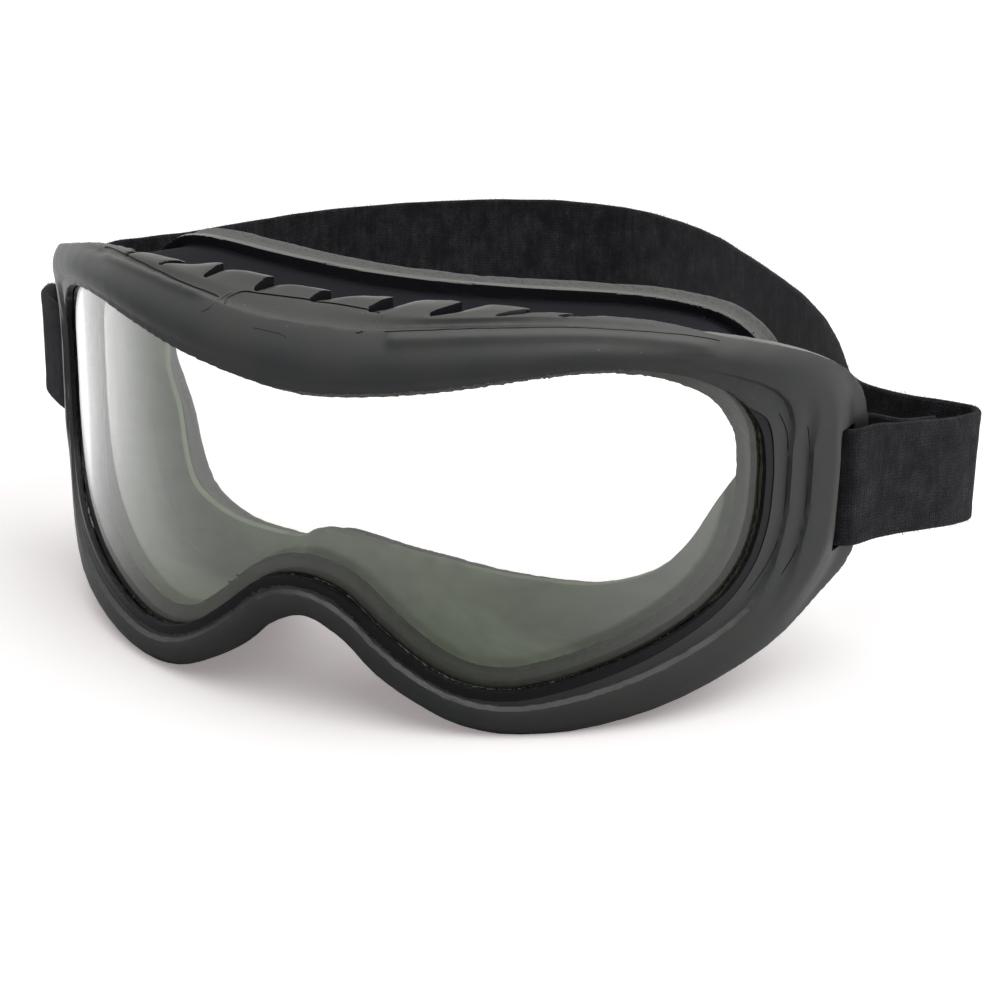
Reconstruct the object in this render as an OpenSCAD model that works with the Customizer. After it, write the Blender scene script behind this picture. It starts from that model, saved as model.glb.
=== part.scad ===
// Wrap-around safety goggles with a clear double lens, a louvred brow and an elastic head strap.
// X runs to the right as seen from the front, Y from the lens back to the face, Z up.
// The origin is the reference point of the face seal, midway between the wearer's eyes.

/* [Lens] */
// Width of the opening that shows the lens
lens_w = 160; // [150:1:172]
// Height of that opening, from the lobes to the brow
lens_h = 66; // [58:1:74]
// Radius of the front face of the outer lens, round an upright axis
wrap_r = 95; // [92:1:130]
// Thickness of the outer lens
lens_t = 2; // [1.6:0.1:2.6]
// How far the edge of the outer lens reaches into its groove
lens_edge = 3.2; // [2:0.1:4]
// Thickness of the inner lens
inner_t = 0.8; // [0.6:0.1:1.2]
// Thickness of the spacer between the two lenses
gasket_t = 3; // [2:0.1:4]
// How far the inner lens laps over the spacer
gasket_w = 1.6; // [1.2:0.1:3]
// How far the inner lens stays inside the opening
gasket_inset = 1.3; // [0.8:0.1:3]

/* [Frame] */
// Width of the bezel below the lens lobes
bezel_w = 10; // [8:0.5:12]
// Thickness of the lip in front of the lens
lip_t = 1.6; // [1.2:0.1:2.4]
// Thickness of the lip behind the lens
back_lip_t = 2; // [1.4:0.1:3]
// Thickness of the bezel's rim and of the ears
rim_t = 3; // [2.4:0.1:4]
// Thickness of the skirt
wall_t = 2.4; // [1.6:0.1:3]
// Depth of the skirt at the brow, from the lens to the seal flange
skirt_depth = 44; // [38:1:50]
// Width of the seal flange at the brow
flange_w = 8.2; // [7:0.1:10]
// Thickness of the seal flange
flange_t = 2; // [1.6:0.1:3]
// How far the flange stands out past the skirt
flange_lip = 3; // [2:0.1:4]
// Height of the two outer steps beside the lens
step_h = 1.1; // [0.6:0.1:1.5]

/* [Brow vents] */
// Depth of the louvred deck behind the brow ridge
deck_w = 9.3; // [7:0.1:12]
// Height of the deck above the brow ridge
deck_rise = 3.5; // [3:0.1:6]
// Thickness of the deck
deck_t = 2.5; // [1.8:0.1:3.5]
// Width of a notch between two louvres, at the deck's rear edge
notch_w = 2.6; // [2:0.1:4]
// Depth of a notch from the deck's rear edge
notch_depth = 4.8; // [4:0.1:6.5]
// Length of a vent window through the skirt
window_l = 8; // [5:0.5:9]
// Width of a vent window
window_w = 4; // [2:0.5:6]
// Thickness of the filter under the vent windows
filter_t = 2.5; // [1.5:0.1:4]

/* [Face foam] */
// Thickness of the foam
foam_t = 9; // [5:0.5:12]
// How much the foam narrows towards the face, on its inner side
foam_taper = 3; // [0:0.5:4]
// Depth of the hollow in each side of the foam
foam_draw = 0.5; // [0.2:0.1:1]

/* [Strap] */
// Width of the strap
strap_w = 24; // [20:0.5:26]
// Thickness of the strap
strap_t = 1.5; // [1.2:0.1:1.8]
// Height of the strap's middle at the ears
strap_z = 0.8; // [-1:0.2:2]
// Width of the bar at the end of each ear
bar_w = 4.5; // [3.5:0.1:5]
// Width of the slot beside the bar
slot_w = 5.5; // [5.2:0.1:6.5]
// Length of the slot beyond the strap's two edges
slot_play = 1; // [0.6:0.1:2]
// Length of the slider along the strap
slider_l = 13; // [11:0.5:14]
// Thickness of the slider's bars
slider_bar_t = 1.5; // [1.2:0.1:2]

/* [Fits] */
// Gap between pieces that are seated or glued
seat_gap = 0.15; // [0.1:0.05:0.2]
// Gap between pieces that slide
slide_gap = 0.3; // [0.25:0.05:0.4]

/* [Hidden] */

// The half drawing below was measured at these sizes
drawn_w = 160;
drawn_h = 66;
drawn_r = 95;
drawn_bezel = 10;
drawn_depth = 44;
drawn_flange = 8.2;

// Distance from the front of the lens to the reference point of the seal
seal_y = 54;
// Level of the flat feet under the lobes
foot_z = -42;

// Right half, from the nose round the lobe, the side and the brow to the middle again.
// Each row: opening x z, ridge x y z, start of the skirt x y z, flange rim x y z, flange bore x y z
half = [
    [0, -12, 0, 2.5, -21, 0, 7, -19.5, 0, 17, -18, 0, 17, -7.8],
    [9, -14.3, 8.5, 3, -25, 8.5, 8, -23.5, 8.5, 22, -22, 8, 22, -11.4],
    [17, -21, 15, 3.5, -31, 15.3, 9, -29.5, 16, 32, -28, 14.5, 32, -17],
    [25, -27.3, 23, 5, -36.2, 23.3, 11, -34.7, 24, 40, -34.5, 22, 40, -21.6],
    [33, -31.3, 32, 7.5, -40.5, 32.2, 13.5, -39, 32.5, 45.5, -40, 31.5, 45.5, -24],
    [42, -32.3, 43, 12.3, -42.4, 43, 18, -41.2, 42.5, 49.5, -42.2, 43, 49.5, -24.4],
    [53, -29.6, 56, 20.2, -41, 55.5, 26, -39.5, 53.5, 53, -40, 54, 53, -20.8],
    [64, -24.9, 69, 31.6, -37.2, 67, 37.5, -35.2, 64, 57.5, -32.5, 59.8, 57.5, -14.6],
    [73, -18.5, 81, 48, -30.6, 76.5, 49, -27.5, 71, 61.5, -23, 63.4, 61.5, -7.2],
    [77.6, -11.5, 88, 59, -22, 80.5, 54, -18, 74.6, 63.6, -13, 66.6, 63.6, -1.6],
    [79.5, -4, 92.6, 66.3, -14, 82.8, 57, -8, 76, 64.8, -4, 68.4, 64.8, 1.8],
    [80, 3.5, 93.5, 68, 2, 83.3, 57.7, 3, 76.4, 65.6, 3.5, 69, 65.6, 4.5],
    [79.9, 10.5, 93.3, 67.6, 14, 83, 57.2, 11, 76.1, 66, 11, 68.6, 66, 10.3],
    [78.8, 18.2, 91.8, 61.5, 24, 81.8, 55.5, 19.5, 74.4, 66.4, 19, 66.9, 66.4, 16.6],
    [74.3, 26, 85.6, 50.3, 31.5, 77.5, 49.5, 27, 70.8, 66.2, 26.5, 62.4, 66.2, 22.2],
    [65, 31.6, 71.5, 35, 37.2, 68, 38.5, 33.5, 63, 62.5, 33, 54, 62.5, 26],
    [53, 33, 56, 22.5, 39.9, 55, 27, 35.2, 51.5, 54.5, 36.9, 45, 54.5, 28.4],
    [40, 31.4, 42, 14.3, 40.6, 42, 19, 35.4, 39, 49.5, 37.8, 35, 49.5, 29.4],
    [26, 28.9, 27, 8.9, 39.8, 27, 13.5, 34.6, 26, 46, 37.8, 23.5, 46, 29.4],
    [13, 27.1, 13, 5.9, 38.4, 13, 10.5, 33.6, 13, 44.3, 37.5, 12, 44.3, 29.2],
    [0, 26, 0, 5, 38, 0, 9.5, 33, 0, 43.8, 37.3, 0, 43.8, 29]
];
x_columns = [0, 2, 5, 8, 11];
function is_x(i) = len([for (c = x_columns) if (c == i) c]) > 0;
function mirrored(row) = [for (i = [0 : len(row) - 1]) is_x(i) ? -row[i] : row[i]];
last = len(half) - 1;
outline = concat(half, [for (i = [last - 1 : -1 : 1]) mirrored(half[i])]);
count = len(outline);

// Smooth closed curve through the rows; u counts rows from the nose
function knot(list, i) = list[(i % len(list) + len(list)) % len(list)];
function blend(p, q, r, s, t) =
    0.5 * (2 * q + (r - p) * t + (2 * p - 5 * q + 4 * r - s) * t * t + (3 * q - p - 3 * r + s) * t * t * t);
function at(u) =
    let (i = floor(u))
    blend(knot(outline, i - 1), knot(outline, i), knot(outline, i + 1), knot(outline, i + 2), u - i);
function pick(v, i) = [v[i], v[i + 1], v[i + 2]];
function unit(v) = v / norm(v);
function mix(p, q, t) = p + (q - p) * t;

// Point on a cylinder of radius r that touches the XZ plane
function on_wrap(x, z, r) = [x, r - sqrt(r * r - x * x), z];
function opening(u) = [at(u)[0] * lens_w / drawn_w, at(u)[1] * lens_h / drawn_h];
function lens_front(u) = on_wrap(opening(u)[0], opening(u)[1], wrap_r);
function drawn_front(u) = on_wrap(at(u)[0], at(u)[1], drawn_r);
function ridge(u) = lens_front(u) + (pick(at(u), 2) - drawn_front(u)) * bezel_w / drawn_bezel;
function skirt(u) = ridge(u) + pick(at(u), 5) - pick(at(u), 2);
function rim(u) =
    let (d = pick(at(u), 8) - drawn_front(u))
    lens_front(u) + [d.x, d.y * skirt_depth / drawn_depth, d.z];
function bore(u) = rim(u) + (pick(at(u), 11) - pick(at(u), 8)) * flange_w / drawn_flange;
function inward(u) = unit(bore(u) - rim(u));

// Lens normal, pointing back, and the outward direction in the lens face
function back(u) = let (x = opening(u)[0]) [-x / wrap_r, sqrt(1 - pow(x / wrap_r, 2)), 0];
function arc_x(u) = wrap_r * asin(opening(u)[0] / wrap_r) * PI / 180;
function outward(u) =
    let (du = 0.05,
         ds = arc_x(u + du) - arc_x(u - du),
         dz = opening(u + du)[1] - opening(u - du)[1],
         n = unit([dz, -ds]),
         b = back(u))
    [n[0] * b.y, -n[0] * b.x, n[1]];
function lens_point(u, out, depth) = lens_front(u) + outward(u) * out + back(u) * depth;

groove_d = lens_edge + seat_gap;
groove_w = lens_t + 2 * seat_gap;
groove_back = lip_t + groove_w;
lens_y = lip_t + seat_gap;
gasket_y = lens_y + lens_t + seat_gap;
inner_y = gasket_y + gasket_t + seat_gap;

// The bezel's face has three forms, which fade into one another: two steps beside the lens,
// a recessed lip along the lobes and the nose, and a rounded brow
side_first = 8.2;
side_last = 13.6;
side_fade = 1.6;
brow_first = 13.4;
brow_fade = 1.8;
function half_u(u) = u > last ? count - u : u;
function rise(v, first, fade) = min(1, max(0, (v - first) / fade));
function side(u) = min(rise(half_u(u), side_first, side_fade), rise(-half_u(u), -side_last, side_fade));
function brow(u) = rise(half_u(u), brow_first, brow_fade);
// Each stop across the bezel: share of the way to the ridge, number of steps climbed there
side_stops = [
    [0, 0], [0.2, 0], [0.206, 0.9], [0.372, 0.95],
    [0.378, 1.9], [0.6, 2.6], [0.74, 1.5], [0.83, 0.25]];
lobe_stops = [
    [0, 0], [0.33, 0.1], [0.35, 1.15], [0.48, 1.5],
    [0.62, 1.65], [0.75, 1.45], [0.88, 0.85], [0.95, 0.4]];
brow_stops = [
    [0, 0], [0.17, 0.2], [0.22, 0.75], [0.38, 1.25],
    [0.5, 1.4], [0.65, 1.3], [0.8, 0.9], [0.9, 0.5]];
function stop(u, i) = mix(mix(lobe_stops[i], brow_stops[i], brow(u)), side_stops[i], side(u));
function bezel_face(u, i) =
    let (s = stop(u, i))
    mix(lens_front(u), ridge(u), s[0]) - back(u) * step_h * s[1];

// Inner face of the skirt, at the lens and at the flange
function wall_start(u) = skirt(u) + inward(u) * wall_t;
function wall_end(u) = rim(u) + inward(u) * (flange_lip + wall_t) - [0, flange_t, 0];

// One slice through the frame, from the lens lip over the ridge and back along the inside
lip_overlap = 0.6;
inner_rings = [1 / 3, 2 / 3];
function lip_foot(u) = lens_point(u, lip_overlap, groove_back + back_lip_t);
function slice(u) = concat(
    [for (i = [0 : len(side_stops) - 1]) bezel_face(u, i)],
    [ridge(u),
     ridge(u) + back(u) * rim_t,
     skirt(u),
     rim(u) + inward(u) * flange_lip,
     rim(u),
     rim(u) + [0, flange_t, 0],
     bore(u) + [0, flange_t, 0],
     bore(u),
     wall_end(u)],
    [for (t = inner_rings) mix(wall_end(u), wall_start(u), t)],
    [wall_start(u)],
    [for (t = inner_rings) mix(wall_start(u), lip_foot(u), t)],
    [lip_foot(u),
     lens_point(u, lip_overlap, groove_back),
     lens_point(u, groove_d, groove_back),
     lens_point(u, groove_d, lip_t),
     lens_point(u, 0, lip_t)]);

// Faces that join slices of equal length, split along the shorter diagonal;
// closed joins the last slice to the first
function strip(slices, closed) =
    let (n = len(slices),
         m = len(slices[0]))
    [for (i = [0 : (closed ? n - 1 : n - 2)], j = [0 : m - 1])
        let (k = (i + 1) % n,
             l = (j + 1) % m,
             a = i * m + j,
             b = i * m + l,
             c = k * m + l,
             d = k * m + j,
             near = norm(slices[i][j] - slices[k][l]) < norm(slices[i][l] - slices[k][j]))
        for (f = near ? [[a, c, b], [a, d, c]] : [[a, d, b], [b, d, c]]) f];
function caps(n, m) = [
    [for (j = [0 : m - 1]) j],
    [for (j = [m - 1 : -1 : 0]) (n - 1) * m + j]];
function all_points(slices) = [for (s = slices) for (p = s) p];
module ring(slices) {
    polyhedron(all_points(slices), strip(slices, true), convexity = 10);
}
module bar(slices) {
    faces = concat(strip(slices, false), caps(len(slices), len(slices[0])));
    polyhedron(all_points(slices), faces, convexity = 10);
}
module placed() {
    translate([0, -seal_y, 0]) children();
}

// Louvred deck along the brow
deck_first = 15;
deck_last = count - deck_first;
deck_step = 0.4;
deck_half = last - deck_first + 0.1;
deck_taper = 2.5;
deck_root = [0, 0.4, -0.8];
// Share of the deck's depth and of its rise, from the ridge to the rear edge
deck_rises = [[0.42, 0.66], [0.8, 1], [1, 0.97]];
function deck_share(u) = 1 - pow(abs(u - last) / deck_half, deck_taper);
function deck_edge(u) =
    let (d = deck_rises[len(deck_rises) - 1])
    ridge(u) + [0, d[0] * deck_w, d[1] * deck_rise] * deck_share(u);
function deck_slice(u) =
    let (s = deck_share(u))
    concat([ridge(u) + deck_root],
           [for (d = deck_rises) ridge(u) + [0, d[0] * deck_w, d[1] * deck_rise] * s],
           [deck_edge(u) - [0, 0, deck_t],
            ridge(u) + [0, rim_t, -deck_t]]);
module deck() {
    bar([for (u = [deck_first : deck_step : deck_last]) deck_slice(u)]);
}

// Notches and windows keep one rhythm along the brow, in rows of the drawing, closer towards its ends
notch_side = 4;
notch_pitch = 0.98;
notch_crowd = 0.035;
function notch_row(i) = last + i * notch_pitch - i * abs(i) * notch_crowd;
notch_floor = 1.2;
notch_rear = 3;
// Width at the notch's front end, and sideways lean of its length
notch_tip = 1.3;
notch_lean = 0.6;
window_place = 0.42;
module notch(u) {
    end = deck_edge(u) - [0, 0, notch_floor * deck_t];
    r = notch_tip / 2;
    depth = notch_depth * deck_share(u);
    rear = notch_rear + depth / 2;
    spread = (notch_w - notch_tip) / depth * (notch_rear + depth);
    hull() {
        for (p = [[-notch_lean * depth / 2, r - depth],
                  [notch_lean * rear, notch_rear],
                  [notch_lean * rear + spread, notch_rear]])
            translate(end + [p[0], p[1], 0])
                cylinder(h = 3 * deck_t, r = r, $fn = 16);
    }
}
module window(u) {
    translate(mix(skirt(u), rim(u) + inward(u) * flange_lip, window_place))
        cube([window_l, window_w, 4 * wall_t], center = true);
}

// Ear: tip, direction along the ear, and outward normal, at the row of the strap's middle
ear_u = 11;
ear_tip = ridge(ear_u);
ear_flat = ear_tip - lens_front(ear_u);
ear_dir = unit([ear_flat.x, ear_flat.y, 0]);
ear_out = [ear_dir.y, -ear_dir.x, 0];
ear_angle = atan2(ear_dir.y, ear_dir.x);
slot_h = strap_w + 2 * slot_play;
bar_mid = [ear_tip.x, ear_tip.y, strap_z] - ear_dir * bar_w / 2 - ear_out * rim_t / 2;
slot_mid = [ear_tip.x, ear_tip.y, strap_z] - ear_dir * (bar_w + slot_w / 2);
slot_cut = 16;
module ear_slot() {
    translate(slot_mid)
        rotate(ear_angle)
            cube([slot_w, slot_cut, slot_h], center = true);
}

// Slices between two rows of the drawing
fine = 3;
module frame() {
    color("#3e4042") placed() difference() {
        union() {
            ring([for (k = [0 : fine * count - 1]) slice(k / fine)]);
            deck();
        }
        for (i = [-notch_side : notch_side])
            notch(notch_row(i));
        for (i = [-notch_side : notch_side - 1])
            window(notch_row(i + 0.5));
        ear_slot();
        mirror([1, 0, 0]) ear_slot();
        translate([-lens_w, 0, foot_z - rim_t])
            cube([2 * lens_w, 2 * skirt_depth, rim_t]);
    }
}

// The inner lens and the spacer's bore stay inside the opening, less so under the brow
inset_first = 13.2;
inset_fade = 2.4;
function inset(u) = gasket_inset * (1 - rise(half_u(u), inset_first, inset_fade));

// Lens sheet in upright columns, each from the lower edge to the upper edge;
// edge is its reach past the opening, inner is 1 for the sheet inside the spacer's outline
side_row = 11;
column_gap = 0.35;
half_columns = 32;
function lens_column(v, edge, inner, front, rear) =
    let (s = abs(v),
         low = v < 0 ? count - s : s,
         high = v < 0 ? last + s * (last - side_row) / side_row : last - s * (last - side_row) / side_row)
    [lens_point(low, edge - inner * inset(low), rear), lens_point(high, edge - inner * inset(high), rear),
     lens_point(high, edge - inner * inset(high), front), lens_point(low, edge - inner * inset(low), front)];
module lens_sheet(edge, inner, front, rear) {
    step = (side_row - column_gap) / half_columns;
    bar([for (i = [-half_columns : half_columns]) lens_column(i * step, edge, inner, front, rear)]);
}
module outer_lens() {
    color("#e6ece6", 0.25) placed() lens_sheet(lens_edge, 0, lens_y, lens_y + lens_t);
}
module inner_lens() {
    color("#e6ece6", 0.25) placed() lens_sheet(0, 1, inner_y, inner_y + inner_t);
}
// How far the spacer reaches behind the edge of the opening
gasket_reach = 0.1;
module lens_gasket() {
    rear = gasket_y + gasket_t;
    color("#55585a") placed()
        ring([for (k = [0 : fine * count - 1])
            let (u = k / fine,
                 o = gasket_reach,
                 i = -inset(u) - gasket_w)
            [lens_point(u, i, gasket_y), lens_point(u, o, gasket_y),
             lens_point(u, o, rear), lens_point(u, i, rear)]]);
}

// Foam ring: glued front, drawn-in sides, crowned face side
foam_edge = 0.5;
crown = [[0, 0], [1, 0.42], [0, 0.72], [1.6, 0.94]];
function foam_slice(u) =
    let (o = rim(u) + inward(u) * foam_edge + [0, flange_t + seat_gap, 0],
         i = bore(u) - inward(u) * foam_edge + [0, flange_t + seat_gap, 0],
         w = inward(u) * foam_draw,
         y = [0, foam_t, 0],
         t = y - inward(u) * foam_taper)
    concat([for (c = crown) o + w * c[0] + y * c[1]],
           [(o + y + i + t) / 2],
           [for (k = [len(crown) - 1 : -1 : 0]) i - w * crown[k][0] + t * crown[k][1]]);
module face_foam() {
    color("#4a4b45") placed() ring([for (k = [0 : fine * count - 1]) foam_slice(k / fine)]);
}

// Filter strip glued under the vent windows
filter_first = 15.8;
filter_step = 0.4;
filter_start = 0.2;
filter_end = 0.68;
function filter_slice(u) =
    let (a = wall_start(u),
         b = wall_end(u),
         n = unit(cross([1, 0, 0], b - a)),
         p = mix(a, b, filter_start) - n * seat_gap,
         q = mix(a, b, filter_end) - n * seat_gap)
    [p, q, q - n * filter_t, p - n * filter_t];
module brow_filter() {
    color("#34363a") placed()
        bar([for (u = [filter_first : filter_step : count - filter_first]) filter_slice(u)]);
}

// Strap route: loops round the two bars, and between them a free run as it lies at rest.
// Loop points are given along the ear and outward from the bar's middle.
loop_slack = 1.5;
loop_nose = 2.6;
loop_half = strap_t / 2 + rim_t / 2 + loop_slack;
loop_end = bar_w / 2 + loop_nose + strap_t / 2 - loop_half;
function by_bar(p, s) =
    let (q = bar_mid + ear_dir * p[0] + ear_out * p[1])
    [s * q.x, q.y, strap_z + p[2]];
function bend(s) =
    [for (a = [-90 : 30 : 90]) by_bar([-loop_end - loop_half * cos(a), loop_half * sin(a), 0], s)];
right_tab = [
    [18, 4.6, -0.8], [14.5, 3.95, -0.6], [10.5, 3.1, -0.3],
    [7.8, 1.3, 0], [5.8, -1.6, 0], [2.6, -3.7, 0]];
right_leg = [[3, 3.9, 0], [7.5, 4.6, -0.2], [14.9, 5.9, -0.6], [21.6, 6.9, -1]];
left_outer = [[11.5, 8.2, 1.8], [5.5, 9.1, 1.8], [0.5, 7.2, 1.2], [-3.4, 4.6, 0.4], [-5.1, 1.3, 0]];
left_inner = [[-4.6, -2.2, 0], [-1.6, -3.7, 0], [2.2, -3.8, 0], [6, -2.4, 0.4], [11, 0, 0.8]];
// Free run, as x and y from the middle between the bars, and rise of the strap above the ears
drawn_bar = [91.15, 66.85];
free_run = [
    [109.6, 19, -1.2], [110.8, 22, -1.2], [109.3, 24.6, -1.2], [106, 24.8, -1], [102, 23.9, -0.7],
    [97, 22.6, -0.2], [91, 21.7, 0.5], [86, 22.6, 1.1], [82.3, 25.7, 1.7], [79.8, 30.6, 2.3],
    [76.5, 38, 3.1], [71.8, 47.5, 3.9], [65.5, 58, 4.7], [57.8, 68, 5.5], [48.8, 77.8, 6.2],
    [38.5, 88.6, 6.7], [28.5, 98.4, 7.1], [18.5, 106, 7.2], [6, 112.6, 7.2], [-8, 115.4, 7.2],
    [-25, 112.7, 7.1], [-45, 103.3, 6.7], [-62, 92.6, 5.9], [-77, 80.6, 4.8], [-88.5, 67.6, 3.7],
    [-98, 56.6, 2.8], [-105.3, 51.1, 2.1], [-110.3, 47.9, 1.6], [-112.6, 43.8, 1.2]];
function run_point(p) =
    [p[0] + sign(p[0]) * (bar_mid.x - drawn_bar[0]), p[1] + bar_mid.y, strap_z + p[2]];

// Straight stretch that carries the slider, from its end by the left ear
stretch_from = [-103.2, 13.15];
stretch_dir = unit([-0.294, 0.956, 0]);
stretch_out = [-stretch_dir.y, stretch_dir.x, 0];
slider_mid_t = 1.3;
layer = slide_gap + strap_t / 2 + slider_mid_t / 2;
stretch_rise = 1;
stretch_stops = [-4, -1, 12, 25, 28];
slider_at = 12;
tail_stops = [-1, 3, 14, 26];
function stretch(t, n) =
    let (x = stretch_from[0] - (bar_mid.x - drawn_bar[0]),
         y = stretch_from[1] + bar_mid.y)
    [x, y, strap_z + stretch_rise] + stretch_dir * t + stretch_out * n;

route = concat(
    [for (p = right_tab) by_bar(p, 1)],
    bend(1),
    [for (p = right_leg) by_bar(p, 1)],
    [for (p = free_run) run_point(p)],
    [for (i = [len(stretch_stops) - 1 : -1 : 0]) stretch(stretch_stops[i], layer)],
    [for (p = left_outer) by_bar(p, -1)],
    [for (p = left_inner) by_bar(p, -1)],
    [for (t = tail_stops) stretch(t, -layer)]);
function route_at(v) =
    let (n = len(route),
         i = min(n - 2, floor(v)),
         p = route[max(0, i - 1)],
         s = route[min(n - 1, i + 2)])
    blend(p, route[i], route[i + 1], s, v - i);
function route_side(v) =
    let (dv = 0.05,
         top = len(route) - 1,
         d = route_at(min(top, v + dv)) - route_at(max(0, v - dv)))
    unit([d.y, -d.x, 0]);
function strap_slice(v) =
    let (p = route_at(v),
         n = route_side(v) * strap_t / 2,
         h = [0, 0, strap_w / 2])
    [p - n + h, p + n + h, p + n - h, p - n - h];
strap_fine = 2;
module strap() {
    color("#1c1d20") placed()
        bar([for (k = [0 : strap_fine * (len(route) - 1)]) strap_slice(k / strap_fine)]);
}

// Two rows of stitches that close the right loop, on the inner face of the strap's end
stitch_rows = [0.35, 1.3];
stitch_count = 8;
stitch_l = 1.9;
stitch_d = 0.5;
module loop_stitching() {
    pitch = (strap_w - 2 * stitch_l) / stitch_count;
    color("#26272b") placed()
        for (r = stitch_rows, i = [0 : stitch_count - 1]) {
            n = route_side(r);
            p = route_at(r) + n * (strap_t / 2 + stitch_d / 2 + seat_gap / 3);
            translate(p + [0, 0, (i - (stitch_count - 1) / 2) * pitch])
                rotate(atan2(n.y, n.x))
                    cube([stitch_d, stitch_d, stitch_l], center = true);
        }
}

// Three-bar slider: the strap runs over the middle bar and under the two end bars
slider_rail = 2.6;
slider_mid_w = 2.8;
slider_end_w = 2.2;
slider_r = 2;
module slider_block(t0, t1, n0, n1, h) {
    translate([t0, n0, -h / 2]) cube([t1 - t0, n1 - n0, h]);
}
module strap_slider() {
    inner_h = strap_w + 2 * slide_gap;
    full_h = inner_h + 2 * slider_rail;
    mid = layer - strap_t / 2 - slide_gap;
    top = layer + strap_t / 2 + slide_gap;
    half_l = slider_l / 2;
    color("#17181a") placed()
        translate(stretch(slider_at, 0))
            multmatrix([[stretch_dir.x, stretch_out.x, 0, 0],
                        [stretch_dir.y, stretch_out.y, 0, 0],
                        [0, 0, 1, 0]])
                difference() {
                    translate([0, top + slider_bar_t, 0])
                        rotate([90, 0, 0])
                            linear_extrude(top + slider_bar_t + mid)
                                offset(r = slider_r, $fn = 32)
                                    square([slider_l - 2 * slider_r, full_h - 2 * slider_r], center = true);
                    slider_block(-half_l - 1, half_l + 1, mid, top, inner_h);
                    for (s = [-1, 1]) {
                        a = s * slider_mid_w / 2;
                        b = s * (half_l - slider_end_w);
                        c = s * (half_l + 1);
                        slider_block(min(a, b), max(a, b), -mid - 1, top + slider_bar_t + 1, inner_h);
                        slider_block(min(a, c), max(a, c), -mid - 1, top, inner_h);
                    }
                    slider_block(-slider_mid_w, slider_mid_w, mid, top + slider_bar_t + 1, inner_h);
                }
}

frame();
outer_lens();
lens_gasket();
inner_lens();
face_foam();
brow_filter();
strap();
loop_stitching();
strap_slider();
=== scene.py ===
"""Wrap-around safety goggles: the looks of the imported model, in its own frame.

Lengths are named in millimetres and turned into Blender's metres where a mesh is made.
"""
import math

import bmesh
import bpy
import numpy as np
from mathutils import Matrix, Vector, noise
from mathutils.bvhtree import BVHTree


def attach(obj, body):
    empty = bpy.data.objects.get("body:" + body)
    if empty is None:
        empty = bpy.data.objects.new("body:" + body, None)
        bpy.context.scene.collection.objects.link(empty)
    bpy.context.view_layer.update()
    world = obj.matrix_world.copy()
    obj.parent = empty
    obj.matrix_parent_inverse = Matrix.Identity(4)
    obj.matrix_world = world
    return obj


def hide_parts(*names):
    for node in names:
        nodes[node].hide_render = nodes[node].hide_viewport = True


MM = 0.001

# Camera of the photograph
CAMERA_AT = (195.73, -410.85, 165.28)
CAMERA_AZIMUTH = 23.232
CAMERA_ELEVATION = 21.589
CAMERA_ROLL = 1.008
CAMERA_LENS = 82.178
CAMERA_SENSOR = 36.0
CAMERA_CLIP = 10.0

# Light: what the sky and the sun give, and what gloss sees of the sky, from before the object to above it
SKY_DIFFUSE = 0.34
SKY_FRONT = 0.42
SKY_TOP = 1.5
SKY_FRONT_TINT = (0.95, 0.97, 1.05)
SKY_TOP_TINT = (1.0, 1.02, 0.95)
SKY_TOP_WAY = (0.15, 0.5, 0.85)
SKY_RAMP = (-0.3, 0.5)
SUN_STRENGTH = 2.2
SUN_ANGLE = 75
SUN_FROM = (0.3, 0.0, 1.0)

# Floor: its lightness for the light it throws back and for the camera, its glow where it is seen directly, the glow
# added through glass, and its lightness for gloss, from near to far and as a share under the object
# The floor's lightness for gloss is painted shade before and under the object and painted light behind it, in its
# reflections
FLOOR_Z = -42.0
FLOOR_HALF = 6000.0
FLOOR_ALBEDO = 0.8
FLOOR_SEEN = 1.0
FLOOR_GLOW = (0.25, 0.22, 0.22)
THROUGH_GLASS = 0.8
MIRROR_NEAR_Y = -90.0
MIRROR_FAR_Y = 30.0
MIRROR_NEAR = 0.55
MIRROR_FAR = 1.25
UNDER_AT = (10.0, -25.0)
UNDER_REACH = (50.0, 110.0)
UNDER_SHARE = 0.45

# Meshes: the gap at which CAD seams are joined, rounds of smoothing, and directions that round bars are built from
WELD = 0.002
SMOOTH_ROUNDS = 4
BAR_HINT = (0.31, 0.17, 0.93)
BAR_HINT_UPRIGHT = (1.0, 0.0, 0.0)
BAR_UPRIGHT = 0.9
LINE_STEPS = 6

# Frame mesh: voxel, rounds that even out its facets, the share of faces kept afterwards, and the angle of sharp edges
FRAME_VOXEL = 0.4
FACET_ROUNDS = 24
FACET_TURN = 0.02
FIT_ROUNDS = 12
FRAME_KEEP = 0.35
FRAME_SHARP = 40

# Paint zones of the frame, in the order of its materials: bare rubber, painted shade in the air channel, painted light
# on the inner walls and painted shade on the lip
ZONE_RUBBER, ZONE_VENT_SHADE, ZONE_INNER_LIGHT, ZONE_LIP_SHADE = range(4)

# Lens grid: the lens is part of an upright cylinder
LENS_AXIS_Y = 41.0
LENS_SPLIT_Z = 3.5
LENS_COLUMN_STEPS = 4
LENS_ROWS = 24
LENS_SHARP = 35

# Spacer: its outer edge is tucked in behind the lip; its inner edge is ragged by layers of noise (height, size, seed),
# with a strength that grows along the brow, between two x, and another elsewhere
SPACER_VOXEL = 0.4
SPACER_TUCK = 0.9
SPACER_RIM = (0.6, 0.2)
RAGGED = ((1.0, 1.3, 5.0), (0.5, 0.6, 9.0))
RAGGED_BROW = 0.4
RAGGED_X = (15.0, 45.0)
RAGGED_ELSE = 0.15

# Filter: its pits are one layer of noise
FILTER_VOXEL = 0.6
PIT_DEPTH = 0.1
PIT_SIZE = 1.4
PIT_SEED = 2.0

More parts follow.
